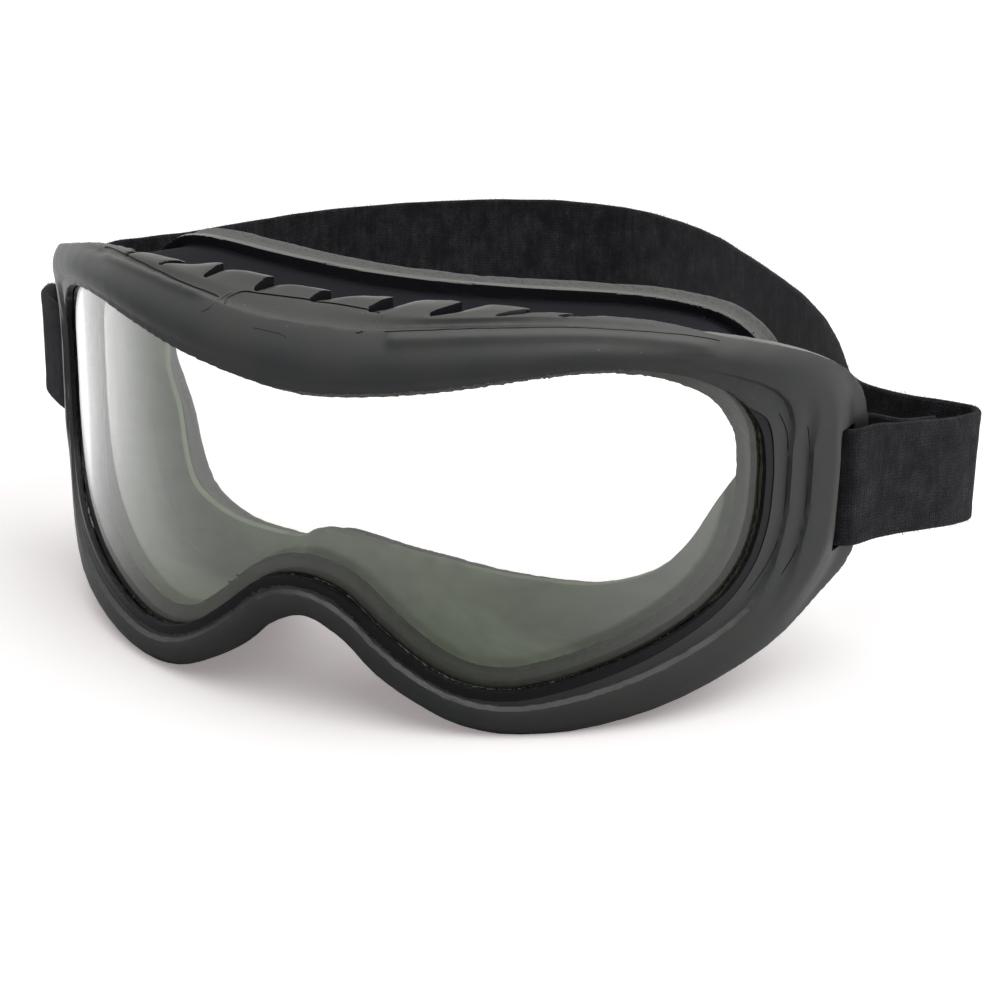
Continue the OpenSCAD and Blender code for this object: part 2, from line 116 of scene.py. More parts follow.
# Foam: lumps (height, size, seed), torn cells where a noise passes a limit, and how far forward a glued face looks
FOAM_VOXEL = 0.7
FOAM_ROUNDS = 10
FOAM_LUMPS = ((0.16, 9.0, 1.0), (0.06, 2.6, 4.0), (0.06, 1.1, 7.0))
TORN_SIZE = 3.2
TORN_SEED = 12.0
TORN_FROM = 0.4
TORN_DEPTH = 0.5
FOAM_GLUED = (0.6, 0.95)

# Slider: its rounded edges
SLIDER_ROUND = 0.35
SLIDER_SEGMENTS = 3
SLIDER_SHARP = 40

# Brow: the ridge follows the lens wrap, and the louvres stand behind it, to a depth of LOUVRE_DEPTH
WRAP_R = 95.0
BROW_Y = -49.0
BROW_Z = 38.0
LOUVRE_ENDS = (-47.1, -36.4, -24.4, -12.3, 0.0, 12.3, 24.4, 36.4, 47.1)
LOUVRE_DEPTH = 9.3
LOUVRE_LIFT = 0.5
LOUVRE_DROP = 1.9
LOUVRE_RISE = 0.45
NOTCH_FRONT = 4.5
DECK_SLOPE = 0.34
NOTCH_LEAN = 0.73
NOTCH_SHIFT = 2.1
DECK_EDGE = 1.0
TIP_DEPTHS = (0.8, 6.0)

# The louvres in the photo aren't quite even: x of a place on the deck, how far it goes along x and up,
# how far the notches' front ends go back, and the notches' share of the drop
DECK_MOVES = np.array([
    (-62, 0, 0, 0, 0.5), (-47, 1.2, 0.2, -1.2, 0.4), (-36, 3.0, -0.8, -0.6, 0.3), (-24, 0.2, 1.3, 0.2, 0.4),
    (-12, 0, 1.5, 0.8, 0.8), (0, 0.6, 0.9, 1.0, 0.8), (12, 1.0, 0.8, -0.4, 0.8), (17, 1.2, 0.7, -1.0, 0.7),
    (24, 2.1, 0.5, -1.8, 0.6), (36, 4.6, 0.5, -2.0, 0.5), (50, 3.0, -0.3, -1.6, 0.5), (64, 0, 0, 0, 0.5)])

# Air channel behind the louvres, painted black as shade: half its width, its lowest height, the slanted plane that ends
# it (distance and normal, on the right), the lowest height of the vent windows, and the seal flange's upper front edge
# behind it
CHANNEL_HALF = 58.0
CHANNEL_FLOOR = 24.0
CHANNEL_END = 38.0
CHANNEL_SLANT = (0.8, 0.0, -0.6)
WINDOW_Z = 30.0
FLANGE_RIM = np.array([(0, -10.2, 37.3), (13, -9.7, 37.5), (26, -8.0, 37.8), (39, -4.5, 37.8), (51.5, 0.5, 36.9),
                       (63, 9.0, 33.0), (70, 12.2, 29.5), (76, 14.0, 26.0)])
FLANGE_LIP = 1.5

# Faces that belong to the channel and get painted shade: room behind the louvres, before their ends, below the deck and
# round the flange's edge, and how far a face has to look up, ahead or back
CHANNEL_WAY = (0.0, -0.5, 1.0)
CHANNEL_TURN = -0.2
CHANNEL_GAP = 0.6
END_ROOM = 1.0
END_BELOW = 2.0
REAR_ROOM = 2.0
FLANGE_BEFORE = 0.3
FLANGE_BEHIND = 1.2
FLANGE_AHEAD = 0.45
LOOKS_UP = 0.4
LOOKS_AHEAD = 0.6
LOOKS_BACK = 0.4
END_UPRIGHT = 0.5
WINDOW_UPRIGHT = 0.6

# The lip beside and below the lens, painted black as the shade of its recess, measured inward from the edge of the lens
LIP_TOP = 27.0  # height of its upper ends, under the brow
LIP_FROM = 60.0  # how far from the middle the upper edge of the lens counts as beside it
LIP_FADE = 9.0  # length over which its ends narrow
LIP_W = 3.6  # its inner edge
LIP_OUT = 1.3  # its outer edge
LIP_LEAST = 0.2  # its width at the very ends
LIP_SINK = 0.3  # how far it lies back
LIP_CLEAR = 3.0  # how far its cutter stands out
LIP_EDGE = 2.0  # how far its paint goes on past the inner edge
LIP_STEP = 1.0  # spacing of the points on its path
LIP_ROUNDS = 4  # rounds that smooth the path
LIP_OVER = 0.03  # tolerances of its paint, outward and sideways
LIP_BESIDE = 0.05
LENS_ROOM = 3.5  # depth behind the wrap that holds the lenses

# Feet of the two steps beside the lens, on the right; the left ones mirror them
STEP_LINES = [[(78.1, -12.4, -16.6), (80.0, -9.5, -12.9), (81.4, -7.5, -9.2), (82.3, -6.1, -5.1), (82.6, -5.6, -0.5),
               (82.7, -5.4, 4.0), (82.7, -5.3, 8.0), (82.5, -5.7, 12.0), (82.2, -6.6, 16.1), (81.1, -8.7, 20.2)],
              [(80.5, -10.1, -18.5), (82.7, -6.8, -14.7), (84.4, -4.3, -11.0), (85.4, -2.7, -6.8), (85.8, -2.0, -1.3),
               (85.9, -1.7, 3.9), (85.9, -1.6, 8.4), (85.7, -2.2, 12.7), (85.3, -3.5, 17.0), (84.2, -6.0, 21.2)]]
STEP_GROOVE_R = 0.22

# Points inside the hollow before the eyes, whose sight lines pick the inner faces for painted light: share of a face's
# x, y and z; and how far sight lines keep off the faces
CAVITY_POINTS = ((0.6, -14.0, 3.0), (1.0, -14.0, 3.0), (0.6, -42.0, 4.0))
SIGHT_CLEAR = 0.05

# Lines on the bare nameplate panel of the brow, seen from above; each kind of bar's depth and radius
PLATE_LINE = [(-18.3, -47.2), (-18.7, -45.4), (-17.9, -44.6), (-16.6, -43.9), (-15.3, -43.6), (-12.0, -43.6),
              (-7.1, -43.6), (-1.8, -43.5), (3.5, -43.6), (9.0, -43.9), (11.9, -44.0), (12.9, -44.2), (13.2, -44.6)]
PLATE_TICK = [(10.6, -49.0), (11.4, -48.8), (11.9, -48.5)]
PLATE_SCRATCH = [(-10.5, -50.3), (-6.6, -50.6), (-4.1, -50.8), (-2.7, -51.2)]
PLATE_BORDERS = [[(-18.4, -43.9), (-20.3, -45.5), (-21.3, -47.6), (-22.9, -48.3)],
                 [(14.2, -44.3), (13.6, -45.8), (13.4, -48.2)]]
PLATE_BEAD = (0.15, 0.32)
PLATE_GROOVE = (0.02, 0.24)
PLATE_SCORE = (0.0, 0.12)
ABOVE_Z = 80.0

# Creases along the front of the deck, each with a raised edge before it
BROW_CREASES = [[(-56.8, -28.8), (-50.4, -33.2), (-43.2, -37.3), (-35.2, -40.9), (-28.1, -43.4), (-20.7, -45.2)],
                [(16.0, -47.9), (19.0, -47.4), (26.3, -45.6), (36.8, -42.1), (44.5, -38.6), (53.2, -33.5),
                 (61.1, -28.1), (67.3, -23.4), (72.0, -19.5)]]
CREASE_SINK = 0.05
CREASE_R = (0.32, 0.18)
EDGE_H = 0.6
EDGE_W = 0.9
EDGE_AHEAD = 1.1
EDGE_STEPS = 60
EDGE_STEP = 0.1
EDGE_FADE = 5.0
TOP_UP = 0.3
TOP_BELOW = 6.0

# Strap, as in the part's source
STRAP_W = 24.0
STRAP_T = 1.5
STRAP_Z = 0.8
RIM_T = 3.0
BAR_W = 4.5
BAR_MID = (91.095, 12.765)
EAR_DIR = (0.4867, 0.8735)
DRAWN_BAR_X = 91.15
LOOP_SLACK = 1.5
LOOP_NOSE = 2.6
RIGHT_TAB = [(18, 4.6, -0.8), (14.5, 3.95, -0.6), (10.5, 3.1, -0.3), (7.8, 1.3, 0), (5.8, -1.6, 0), (2.6, -3.7, 0)]
RIGHT_LEG = [(3, 3.9, 0), (7.5, 4.6, -0.2), (14.9, 5.9, -0.6), (21.6, 6.9, -1)]
LEFT_OUTER = [(11.5, 8.2, 1.8), (5.5, 9.1, 1.8), (0.5, 7.2, 1.2), (-3.4, 4.6, 0.4), (-5.1, 1.3, 0)]
LEFT_INNER = [(-4.6, -2.2, 0), (-1.6, -3.7, 0), (2.2, -3.8, 0), (6, -2.4, 0.4), (11, 0, 0.8)]
FREE_RUN = [
    (109.6, 19, -1.2), (110.8, 22, -1.2), (109.3, 24.6, -1.2), (106, 24.8, -1), (102, 23.9, -0.7),
    (97, 22.6, -0.2), (91, 21.7, 0.5), (86, 22.6, 1.1), (82.3, 25.7, 1.7), (79.8, 30.6, 2.3),
    (76.5, 38, 3.1), (71.8, 47.5, 3.9), (65.5, 58, 4.7), (57.8, 68, 5.5), (48.8, 77.8, 6.2),
    (38.5, 88.6, 6.7), (28.5, 98.4, 7.1), (18.5, 106, 7.2), (6, 112.6, 7.2), (-8, 115.4, 7.2),
    (-25, 112.7, 7.1), (-45, 103.3, 6.7), (-62, 92.6, 5.9), (-77, 80.6, 4.8), (-88.5, 67.6, 3.7),
    (-98, 56.6, 2.8), (-105.3, 51.1, 2.1), (-110.3, 47.9, 1.6), (-112.6, 43.8, 1.2)]
STRETCH_FROM = (-103.2, 13.15)
STRETCH_DIR = (-0.294, 0.956)
STRETCH_RISE = 1.0
STRETCH_STOPS = (-4, -1, 12, 25, 28)
TAIL_STOPS = (-1, 3, 14, 26)
SLIDE_GAP = 0.3
SLIDER_MID_T = 1.3
STRETCH_LAYER = SLIDE_GAP + STRAP_T / 2 + SLIDER_MID_T / 2
STRAP_STEPS = 8
STRAP_FACE_STEPS = 16
SELVEDGE_W = 1.6
SELVEDGE_T = 0.1
STRAP_SHARP = 60
SWAY = (0.18, 7.0, 40.0, 3.0)  # height, size along and across, seed
PUFF = (0.07, 5.0, 4.0, 8.0)
UV_CLOSE = 0.3
SLOT_FILL = 0.75
SLOT_NEAR = 8.0
FUZZ_PER_MM = 3.0
FUZZ_REACH = (0.35, 0.95)
FUZZ_R = 0.035
FUZZ_SEED = 7
FUZZ_SPREAD = 0.5
FUZZ_INSET = 0.25
FUZZ_LEAN = (0.45, 0.35)
FUZZ_CURL = 0.25
STITCH_ROWS = (0.35, 1.3)
STITCH_COUNT = 8
STITCH_L = 1.9
STITCH_D = 0.5
STITCH_LIFT = 0.05
STITCH_DIVE = 0.25
STITCH_POINTS = 9
STITCH_SIDES = 12
STITCH_TAPER = 0.6

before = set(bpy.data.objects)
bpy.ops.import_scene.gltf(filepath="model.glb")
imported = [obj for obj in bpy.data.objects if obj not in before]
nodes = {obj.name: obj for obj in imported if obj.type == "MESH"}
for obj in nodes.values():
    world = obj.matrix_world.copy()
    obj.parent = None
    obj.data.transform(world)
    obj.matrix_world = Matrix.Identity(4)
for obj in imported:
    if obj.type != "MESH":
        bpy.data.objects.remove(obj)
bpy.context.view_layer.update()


# Mesh helpers

def link_object(name, mesh):
    piece = bpy.data.objects.new(name, mesh)
    bpy.context.scene.collection.objects.link(piece)
    return piece


def outward_mesh(bm, name):
    """Makes a mesh of the faces, turned outward."""
    bmesh.ops.recalc_face_normals(bm, faces=bm.faces)
    mesh = bpy.data.meshes.new(name)
    bm.to_mesh(mesh)
    bm.free()
    return mesh


def welded_copy(node, name):
    """A copy of a CAD node's mesh with its seams joined."""
    bm = bmesh.new()
    bm.from_mesh(nodes[node].data)
    bmesh.ops.remove_doubles(bm, verts=bm.verts, dist=WELD * MM)
    mesh = outward_mesh(bm, name)
    mesh.materials.clear()
    return link_object(name, mesh)


def modify(piece, kind, **settings):
    """Applies one modifier to a piece."""
    modifier = piece.modifiers.new("modify", kind)
    for key, value in settings.items():
        setattr(modifier, key, value)
    graph = bpy.context.evaluated_depsgraph_get()
    mesh = bpy.data.meshes.new_from_object(piece.evaluated_get(graph))
    old = piece.data
    piece.modifiers.clear()
    piece.data = mesh
    bpy.data.meshes.remove(old)
    return piece


def voxel_remesh(piece, voxel):
    return modify(piece, "REMESH", mode="VOXEL", voxel_size=voxel * MM)


def vectors_of(items, name):
    values = np.empty(len(items) * 3)
    items.foreach_get(name, values)
    return values.reshape(-1, 3)


def points_of(mesh):
    """Vertices in millimetres."""
    return vectors_of(mesh.vertices, "co") / MM


def set_points(mesh, points):
    mesh.vertices.foreach_set("co", (points * MM).ravel())
    mesh.update()


def unit_rows(vectors):
    return vectors / np.linalg.norm(vectors, axis=1)[:, None]


def row_dots(a, b):
    return np.einsum("ij,ij->i", a, b)


def run_length(points):
    """Distance of each point from the first, along the run."""
    return np.r_[0, np.cumsum(np.linalg.norm(np.diff(points, axis=0), axis=1))]


def normals_of(mesh):
    return vectors_of(mesh.vertices, "normal")


def smooth_surface(mesh, rounds, shrink=0.5, swell=-0.53):
    """Takes out facets and voxel steps without shrinking the form."""
    ends = np.empty(len(mesh.edges) * 2, dtype=np.int32)
    mesh.edges.foreach_get("vertices", ends)
    a, b = ends.reshape(-1, 2).T
    points = points_of(mesh)
    count = len(points)
    degree = np.maximum(np.bincount(np.r_[a, b], minlength=count), 1)[:, None]
    for factor in (shrink, swell) * rounds:
        around = np.stack([np.bincount(a, points[b, i], count) + np.bincount(b, points[a, i], count)
                           for i in range(3)], axis=1) / degree
        points = points + factor * (around - points)
    set_points(mesh, points)


def even_facets(mesh):
    """Turns flat facets into an even curve and keeps the edges that are clearly sharper than a facet's."""
    faces, loops = len(mesh.polygons), len(mesh.loops)
    corner, edge = np.empty(loops, dtype=np.int32), np.empty(loops, dtype=np.int32)
    mesh.loops.foreach_get("vertex_index", corner)
    mesh.loops.foreach_get("edge_index", edge)
    corner = corner.reshape(faces, 4)
    owner = np.repeat(np.arange(faces), 4)
    order = np.argsort(edge, kind="stable")
    paired = np.flatnonzero(np.bincount(edge, minlength=len(mesh.edges)) == 2)
    start = np.searchsorted(edge[order], paired)
    a, b = owner[order[start]], owner[order[start + 1]]
    points = points_of(mesh)
    across = points[corner[:, 2]] - points[corner[:, 0]], points[corner[:, 3]] - points[corner[:, 1]]
    normal = np.cross(*across)
    normal /= np.maximum(np.linalg.norm(normal, axis=1), 1e-9)[:, None]
    for _ in range(FACET_ROUNDS):
        weight = np.exp((row_dots(normal[a], normal[b]) - 1) / FACET_TURN)
        total = normal + np.stack([np.bincount(a, weight * normal[b, i], faces)
                                   + np.bincount(b, weight * normal[a, i], faces) for i in range(3)], axis=1)
        normal = unit_rows(total)
    count = len(points)
    degree = np.maximum(np.bincount(corner.ravel(), minlength=count), 1)[:, None]
    for _ in range(FIT_ROUNDS):
        middle = points[corner].mean(axis=1)
        move = np.zeros((count, 3))
        for k in range(4):
            gap = row_dots(middle - points[corner[:, k]], normal)
            for i in range(3):
                move[:, i] += np.bincount(corner[:, k], gap * normal[:, i], count)
        points = points + move / degree
    set_points(mesh, points)


def shade_smooth(mesh, sharp_angle=None):
    mesh.shade_smooth()
    if sharp_angle is not None:
        mesh.set_sharp_from_angle(angle=math.radians(sharp_angle))


def smooth_step(low, high, value):
    t = np.clip((value - low) / (high - low), 0, 1)
    return t * t * (3 - 2 * t)


def curve_through(points, steps):
    """Points on a smooth open curve through the given points."""
    p = np.array(points, dtype=float)
    p = np.vstack([2 * p[0] - p[1], p, 2 * p[-1] - p[-2]])
    found = []
    for i in range(1, len(p) - 2):
        for t in np.arange(steps) / steps:
            found.append(0.5 * (2 * p[i] + (p[i + 1] - p[i - 1]) * t
                                + (2 * p[i - 1] - 5 * p[i] + 4 * p[i + 1] - p[i + 2]) * t ** 2
                                + (3 * p[i] - p[i - 1] - 3 * p[i + 1] + p[i + 2]) * t ** 3))
    found.append(p[-2])
    return np.array(found)


def loft(name, stacks):
    """Closed solids in millimetres, each made of a stack of rings."""
    bm = bmesh.new()
    for rings in stacks:
        rings = [[bm.verts.new(p * MM) for p in ring] for ring in rings]
        sides = len(rings[0])
        for one, two in zip(rings, rings[1:]):
            for k in range(sides):
                bm.faces.new((one[k], one[(k + 1) % sides], two[(k + 1) % sides], two[k]))
        bm.faces.new(rings[0][::-1])
        bm.faces.new(rings[-1])
    return link_object(name, outward_mesh(bm, name))


def tube(name, runs, radius, sides=10, taper=0.55):
    """Round bars, one along each run of points, with slightly rounded ends."""
    stacks = []
    for run in runs:
        run = np.array(run, dtype=float)
        rings = []
        for i, p in enumerate(run):
            d = run[min(i + 1, len(run) - 1)] - run[max(i - 1, 0)]
            d = d / np.linalg.norm(d)
            u = np.cross(d, BAR_HINT if abs(d[2]) < BAR_UPRIGHT else BAR_HINT_UPRIGHT)
            u = u / np.linalg.norm(u)
            v = np.cross(d, u)
            r = radius * (taper if i in (0, len(run) - 1) else 1)
            rings.append([p + r * (u * math.cos(a) + v * math.sin(a))
                          for a in np.arange(sides) * 2 * math.pi / sides])
        stacks.append(rings)
    return loft(name, stacks)


def combine(piece, tool, operation):
    modify(piece, "BOOLEAN", operation=operation, solver="MANIFOLD", object=tool)
    mesh = tool.data
    bpy.data.objects.remove(tool)
    bpy.data.meshes.remove(mesh)
    return piece


def noise_field(points, size, seed):
    """Smooth noise from -1 to 1 with features of the given size, in millimetres."""
    return np.array([noise.noise(Vector(p / size) + Vector((seed, 0, 0))) for p in points])


def rough(points, layers):
    """Layers of noise, each with its height, size and seed."""
    return sum(height * noise_field(points, size, seed) for height, size, seed in layers)


def soft_piece(node, name, voxel, rounds):
    """An even, softened copy of a CAD node, with its points and normals."""
    piece = voxel_remesh(welded_copy(node, name), voxel)
    smooth_surface(piece.data, rounds)
    return piece, points_of(piece.data), normals_of(piece.data)


def push_out(piece, amount):
    """Moves each point along its normal."""
    set_points(piece.data, points_of(piece.data) + normals_of(piece.data) * amount[:, None])
    shade_smooth(piece.data)


def dress(piece, body, slot, material, *stands_for):
    """Gives a piece its material and body, and hides the CAD nodes that it stands for; slot is not used."""
    piece.data.materials.clear()
    piece.data.materials.append(material)
    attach(piece, body)
    if stands_for:
        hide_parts(*stands_for)
    return piece


# Material helpers

class Nodes:
    """Adds nodes to a tree; each input is a value or another node's output."""

    def __init__(self, tree):
        self.tree = tree

    def feed(self, socket, value):
        if isinstance(value, bpy.types.NodeSocket):
            self.tree.links.new(value, socket)
        else:
            socket.default_value = value

    def add(self, kind, inputs=None, **settings):
        node = self.tree.nodes.new(kind)
        for key, value in settings.items():
            setattr(node, key, value)
        for key, value in (inputs or {}).items():
            self.feed(node.inputs[key], value)
        return node

    def ramp(self, value, low, high, to_low, to_high):
        return self.add("ShaderNodeMapRange", {"Value": value, "From Min": low, "From Max": high,
                                               "To Min": to_low, "To Max": to_high}).outputs["Result"]

    def math(self, operation, a, b):
        return self.add("ShaderNodeMath", {0: a, 1: b}, operation=operation).outputs[0]

    def mix(self, factor, a, b):
        node = self.add("ShaderNodeMix", data_type="RGBA")
        for i, value in ((0, factor), (6, a), (7, b)):
            self.feed(node.inputs[i], (*value, 1) if isinstance(value, tuple) else value)
        return node.outputs[2]


class Shader(Nodes):
    """Nodes of one material, round a Principled BSDF."""

    def __init__(self, name, color, roughness):
        self.material = bpy.data.materials.new(name)
        self.material.use_nodes = True
        super().__init__(self.material.node_tree)
        self.bsdf = self.tree.nodes["Principled BSDF"]
        self.bsdf.inputs["Base Color"].default_value = (*color, 1)
        self.bsdf.inputs["Roughness"].default_value = roughness

    def place(self):
        return self.add("ShaderNodeTexCoord").outputs["Object"]

    def noise(self, where, feature, detail=3.0, rough=0.5):
        """Noise with features of about the given size, in millimetres."""
        return self.add("ShaderNodeTexNoise", {"Vector": where, "Scale": 1 / (feature * MM),
                                               "Detail": detail, "Roughness": rough}).outputs["Fac"]

    def cells(self, where, feature):
        return self.add("ShaderNodeTexVoronoi", {"Vector": where, "Scale": 1 / (feature * MM)})

    def scaled(self, where, scale):
        return self.add("ShaderNodeMapping", {"Vector": where, "Scale": scale}).outputs["Vector"]

    def bump(self, height, depth, strength=1.0):
        return self.add("ShaderNodeBump", {"Height": height, "Distance": depth * MM,
                                           "Strength": strength}).outputs["Normal"]

    def use(self, **sockets):
        for key, value in sockets.items():
            self.feed(self.bsdf.inputs[key.replace("_", " ")], value)


def rubber_material():
    """Satin charcoal moulding with a fine grain, faint clouding and a few dust specks."""
    s = Shader("frame_rubber", (0.025, 0.026, 0.0255), 0.42)
    where = s.place()
    cloud = s.noise(where, 11.0)
    color = s.mix(s.ramp(cloud, 0.3, 0.7, 0.0, 1.0), (0.022, 0.023, 0.024), (0.029, 0.0305, 0.0275))
    specks = s.cells(where, 3.4)
    small = s.ramp(specks.outputs["Distance"], 0.025, 0.04, 1.0, 0.0)
    chance = s.add("ShaderNodeSeparateColor", {"Color": specks.outputs["Color"]}).outputs[0]
    chosen = s.math("GREATER_THAN", chance, 0.72)
    color = s.mix(s.math("MULTIPLY", small, chosen), color, (0.16, 0.16, 0.15))
    grain = s.noise(where, 0.28, 2.0)
    s.use(Base_Color=color,
          Roughness=s.ramp(cloud, 0.25, 0.75, 0.4, 0.5),
          Normal=s.bump(grain, 0.05, 0.35),
          Specular_IOR_Level=0.45)
    return s.material


def lip_shade_material():
    """Painted shade: the smooth rubber lip that holds the lens, painted near black for the shade in its recess."""
    s = Shader("lens_lip_painted_shade", (0.007, 0.007, 0.009), 0.35)
    where = s.place()
    s.use(Base_Color=s.mix(s.noise(where, 6.0), (0.005, 0.005, 0.007), (0.01, 0.01, 0.012)),
          Normal=s.bump(s.noise(where, 0.3), 0.03, 0.3), Specular_IOR_Level=0.22)
    return s.material


def inner_light_material():
    """Painted light: the inner walls behind the lens, painted a light matt olive-grey for the light that falls in
    through the lens, with faint flow lines of the moulding.
    """
    s = Shader("inner_wall_painted_light", (0.31, 0.37, 0.25), 0.8)
    where = s.place()
    flow = s.noise(s.scaled(where, (0.3, 1.0, 1.0)), 4.0, 2.0)
    s.use(Base_Color=s.mix(flow, (0.23, 0.28, 0.18), (0.39, 0.455, 0.32)),
          Normal=s.bump(s.noise(where, 0.3), 0.04, 0.4), Specular_IOR_Level=0.15)
    return s.material


def vent_shade_material():
    """Painted shade: the rubber in the air channel behind the louvres, painted dull black for the shade that fills it.
    """
    s = Shader("vent_painted_shade", (0.018, 0.018, 0.022), 1.0)
    shade_grain = s.noise(s.place(), 0.3, 3.0)
    s.use(Base_Color=s.mix(shade_grain, (0.012, 0.012, 0.015), (0.024, 0.024, 0.029)),
          Normal=s.bump(shade_grain, 0.1), Specular_IOR_Level=0.05)
    return s.material


def glass_material():
    """Clear hard-coated polycarbonate with a trace of olive."""
    s = Shader("clear_lens", (0.988, 0.991, 0.982), 0.0)
    s.use(Transmission_Weight=1.0, IOR=1.56)
    haze = s.noise(s.place(), 14.0)
    s.use(Roughness=s.ramp(haze, 0.4, 0.8, 0.0, 0.012))
    return s.material


def gasket_material():
    """Grey spacer of closed-cell foam."""
    s = Shader("lens_spacer", (0.04, 0.044, 0.034), 0.8)
    where = s.place()
    color = s.mix(s.noise(where, 1.6), (0.028, 0.032, 0.021), (0.05, 0.056, 0.038))
    s.use(Base_Color=color, Normal=s.bump(s.noise(where, 0.3), 0.08, 0.6), Specular_IOR_Level=0.12)
    return s.material


def foam_material():
    """Open-cell charcoal foam: pores of two sizes."""
    s = Shader("face_foam", (0.07, 0.072, 0.068), 0.95)
    where = s.place()
    pores = s.cells(where, 0.9).outputs["Distance"]
    fine = s.cells(where, 0.4).outputs["Distance"]
    cell = s.math("ADD", pores, s.math("MULTIPLY", fine, 0.6))
    color = s.mix(s.ramp(cell, 0.15, 0.75, 0.0, 1.0), (0.04, 0.041, 0.04), (0.115, 0.117, 0.112))
    s.use(Base_Color=color, Normal=s.bump(cell, 0.18, 0.8), Specular_IOR_Level=0.2,
          Sheen_Weight=0.12, Sheen_Roughness=0.5)
    return s.material


def filter_material():
    """Black coarse filter foam."""
    s = Shader("vent_filter", (0.014, 0.014, 0.015), 0.95)
    where = s.place()
    pores = s.cells(where, 1.3).outputs["Distance"]
    color = s.mix(s.ramp(pores, 0.2, 0.6, 0.0, 1.0), (0.006, 0.006, 0.006), (0.022, 0.022, 0.023))
    s.use(Base_Color=color, Normal=s.bump(pores, 0.4), Specular_IOR_Level=0.2)
    return s.material


def strap_material():
    """Black knitted elastic: fine courses across the band, wales along it, and a soft nap."""
    s = Shader("strap_knit", (0.011, 0.011, 0.014), 0.9)
    uv = s.add("ShaderNodeUVMap", uv_map="band").outputs["UV"]
    along, across = (s.add("ShaderNodeSeparateXYZ", {"Vector": uv}).outputs[i] for i in (0, 1))
    wobble = s.math("MULTIPLY", s.noise(s.place(), 3.0), 1.5)

    def ridges(value, pitch):
        phase = s.math("ADD", s.math("MULTIPLY", value, 2 * math.pi / pitch), wobble)
        return s.ramp(s.math("SINE", phase, 0.0), -1.0, 1.0, 0.0, 1.0)

    knit = s.math("ADD", s.math("MULTIPLY", ridges(along, 0.55), 0.2), s.math("MULTIPLY", ridges(across, 0.7), 0.2))
    nap = s.noise(s.place(), 0.4, 4.0, 0.75)
    streaks = s.noise(s.scaled(s.place(), (1.0, 1.0, 0.15)), 1.2)
    height = s.math("ADD", knit, s.math("MULTIPLY", nap, 2.4))
    worn = s.noise(s.place(), 5.0, 4.0, 0.65)
    shade = s.math("MULTIPLY", s.ramp(height, 0.9, 2.0, 0.0, 1.0), s.ramp(worn, 0.35, 0.65, 0.35, 1.3))
    shade = s.math("MULTIPLY", shade, s.ramp(streaks, 0.3, 0.7, 0.5, 1.3))
    color = s.mix(shade, (0.006, 0.006, 0.008), (0.05, 0.05, 0.054))
    s.use(Base_Color=color, Normal=s.bump(height, 0.25, 0.8), Specular_IOR_Level=0.1,
          Sheen_Weight=0.15, Sheen_Roughness=0.4, Sheen_Tint=(0.8, 0.8, 0.85, 1))
    return s.material


def fuzz_material():
    """Pale grey-black ends of broken fibres."""
    s = Shader("strap_fuzz", (0.03, 0.03, 0.034), 0.9)
    s.use(Base_Color=s.mix(s.noise(s.place(), 3.0), (0.012, 0.012, 0.015), (0.06, 0.06, 0.065)), Specular_IOR_Level=0.1)
    return s.material


def thread_material():
    """Black twisted thread."""
    s = Shader("loop_thread", (0.012, 0.012, 0.014), 0.75)
    twist = s.noise(s.place(), 0.2, 1.0)
    s.use(Base_Color=s.mix(twist, (0.008, 0.008, 0.01), (0.024, 0.024, 0.027)),
          Normal=s.bump(twist, 0.1), Sheen_Weight=0.15)
    return s.material


def slider_material():
    """Black moulded plastic with a faint spark-eroded grain."""
    s = Shader("slider_plastic", (0.012, 0.012, 0.013), 0.42)
    where = s.place()
    s.use(Base_Color=s.mix(s.noise(where, 5.0), (0.01, 0.01, 0.011), (0.016, 0.016, 0.017)),
          Roughness=s.ramp(s.noise(where, 2.5), 0.3, 0.7, 0.36, 0.5),
          Normal=s.bump(s.noise(where, 0.2), 0.03, 0.5))
    return s.material


# Frame

def ridge_y(x):
    """Place of the brow's ridge."""
    return BROW_Y + WRAP_R - np.sqrt(np.maximum(WRAP_R ** 2 - x ** 2, 0))


def shape_louvres(mesh):
    """Gives each louvre its shingle form, low at its left end and level from there on, in the photo's rhythm."""
    p = points_of(mesh)
    depth = p[:, 1] - ridge_y(p[:, 0])
    x = p[:, 0] - NOTCH_SHIFT - NOTCH_LEAN * (depth - LOUVRE_DEPTH)
    ends = np.array(LOUVRE_ENDS)
    place = np.clip(np.searchsorted(ends, x) - 1, 0, len(ends) - 2)
    phase = np.clip((x - ends[place]) / (ends[place + 1] - ends[place]), 0, 1)
    phase[x < ends[0]] = 1
    on_deck = p[:, 2] > BROW_Z - DECK_EDGE
    weight = (smooth_step(NOTCH_FRONT - DECK_EDGE, LOUVRE_DEPTH - DECK_EDGE, depth)
              * (depth < LOUVRE_DEPTH + DECK_EDGE) * on_deck)
    shift, rise, back, share = (np.interp(p[:, 0], *DECK_MOVES[:, (0, i)].T) for i in (1, 2, 3, 4))
    lift = LOUVRE_LIFT * (phase - 1) - LOUVRE_DROP * share * np.maximum(1 - phase / LOUVRE_RISE, 0) ** 2
    first, last = TIP_DEPTHS
    back *= smooth_step(first, NOTCH_FRONT, depth) * smooth_step(LOUVRE_DEPTH, last, depth) * on_deck
    p[:, 0] += shift * weight
    p[:, 1] += back
    p[:, 2] += (lift + rise) * weight + back * DECK_SLOPE
    set_points(mesh, p)


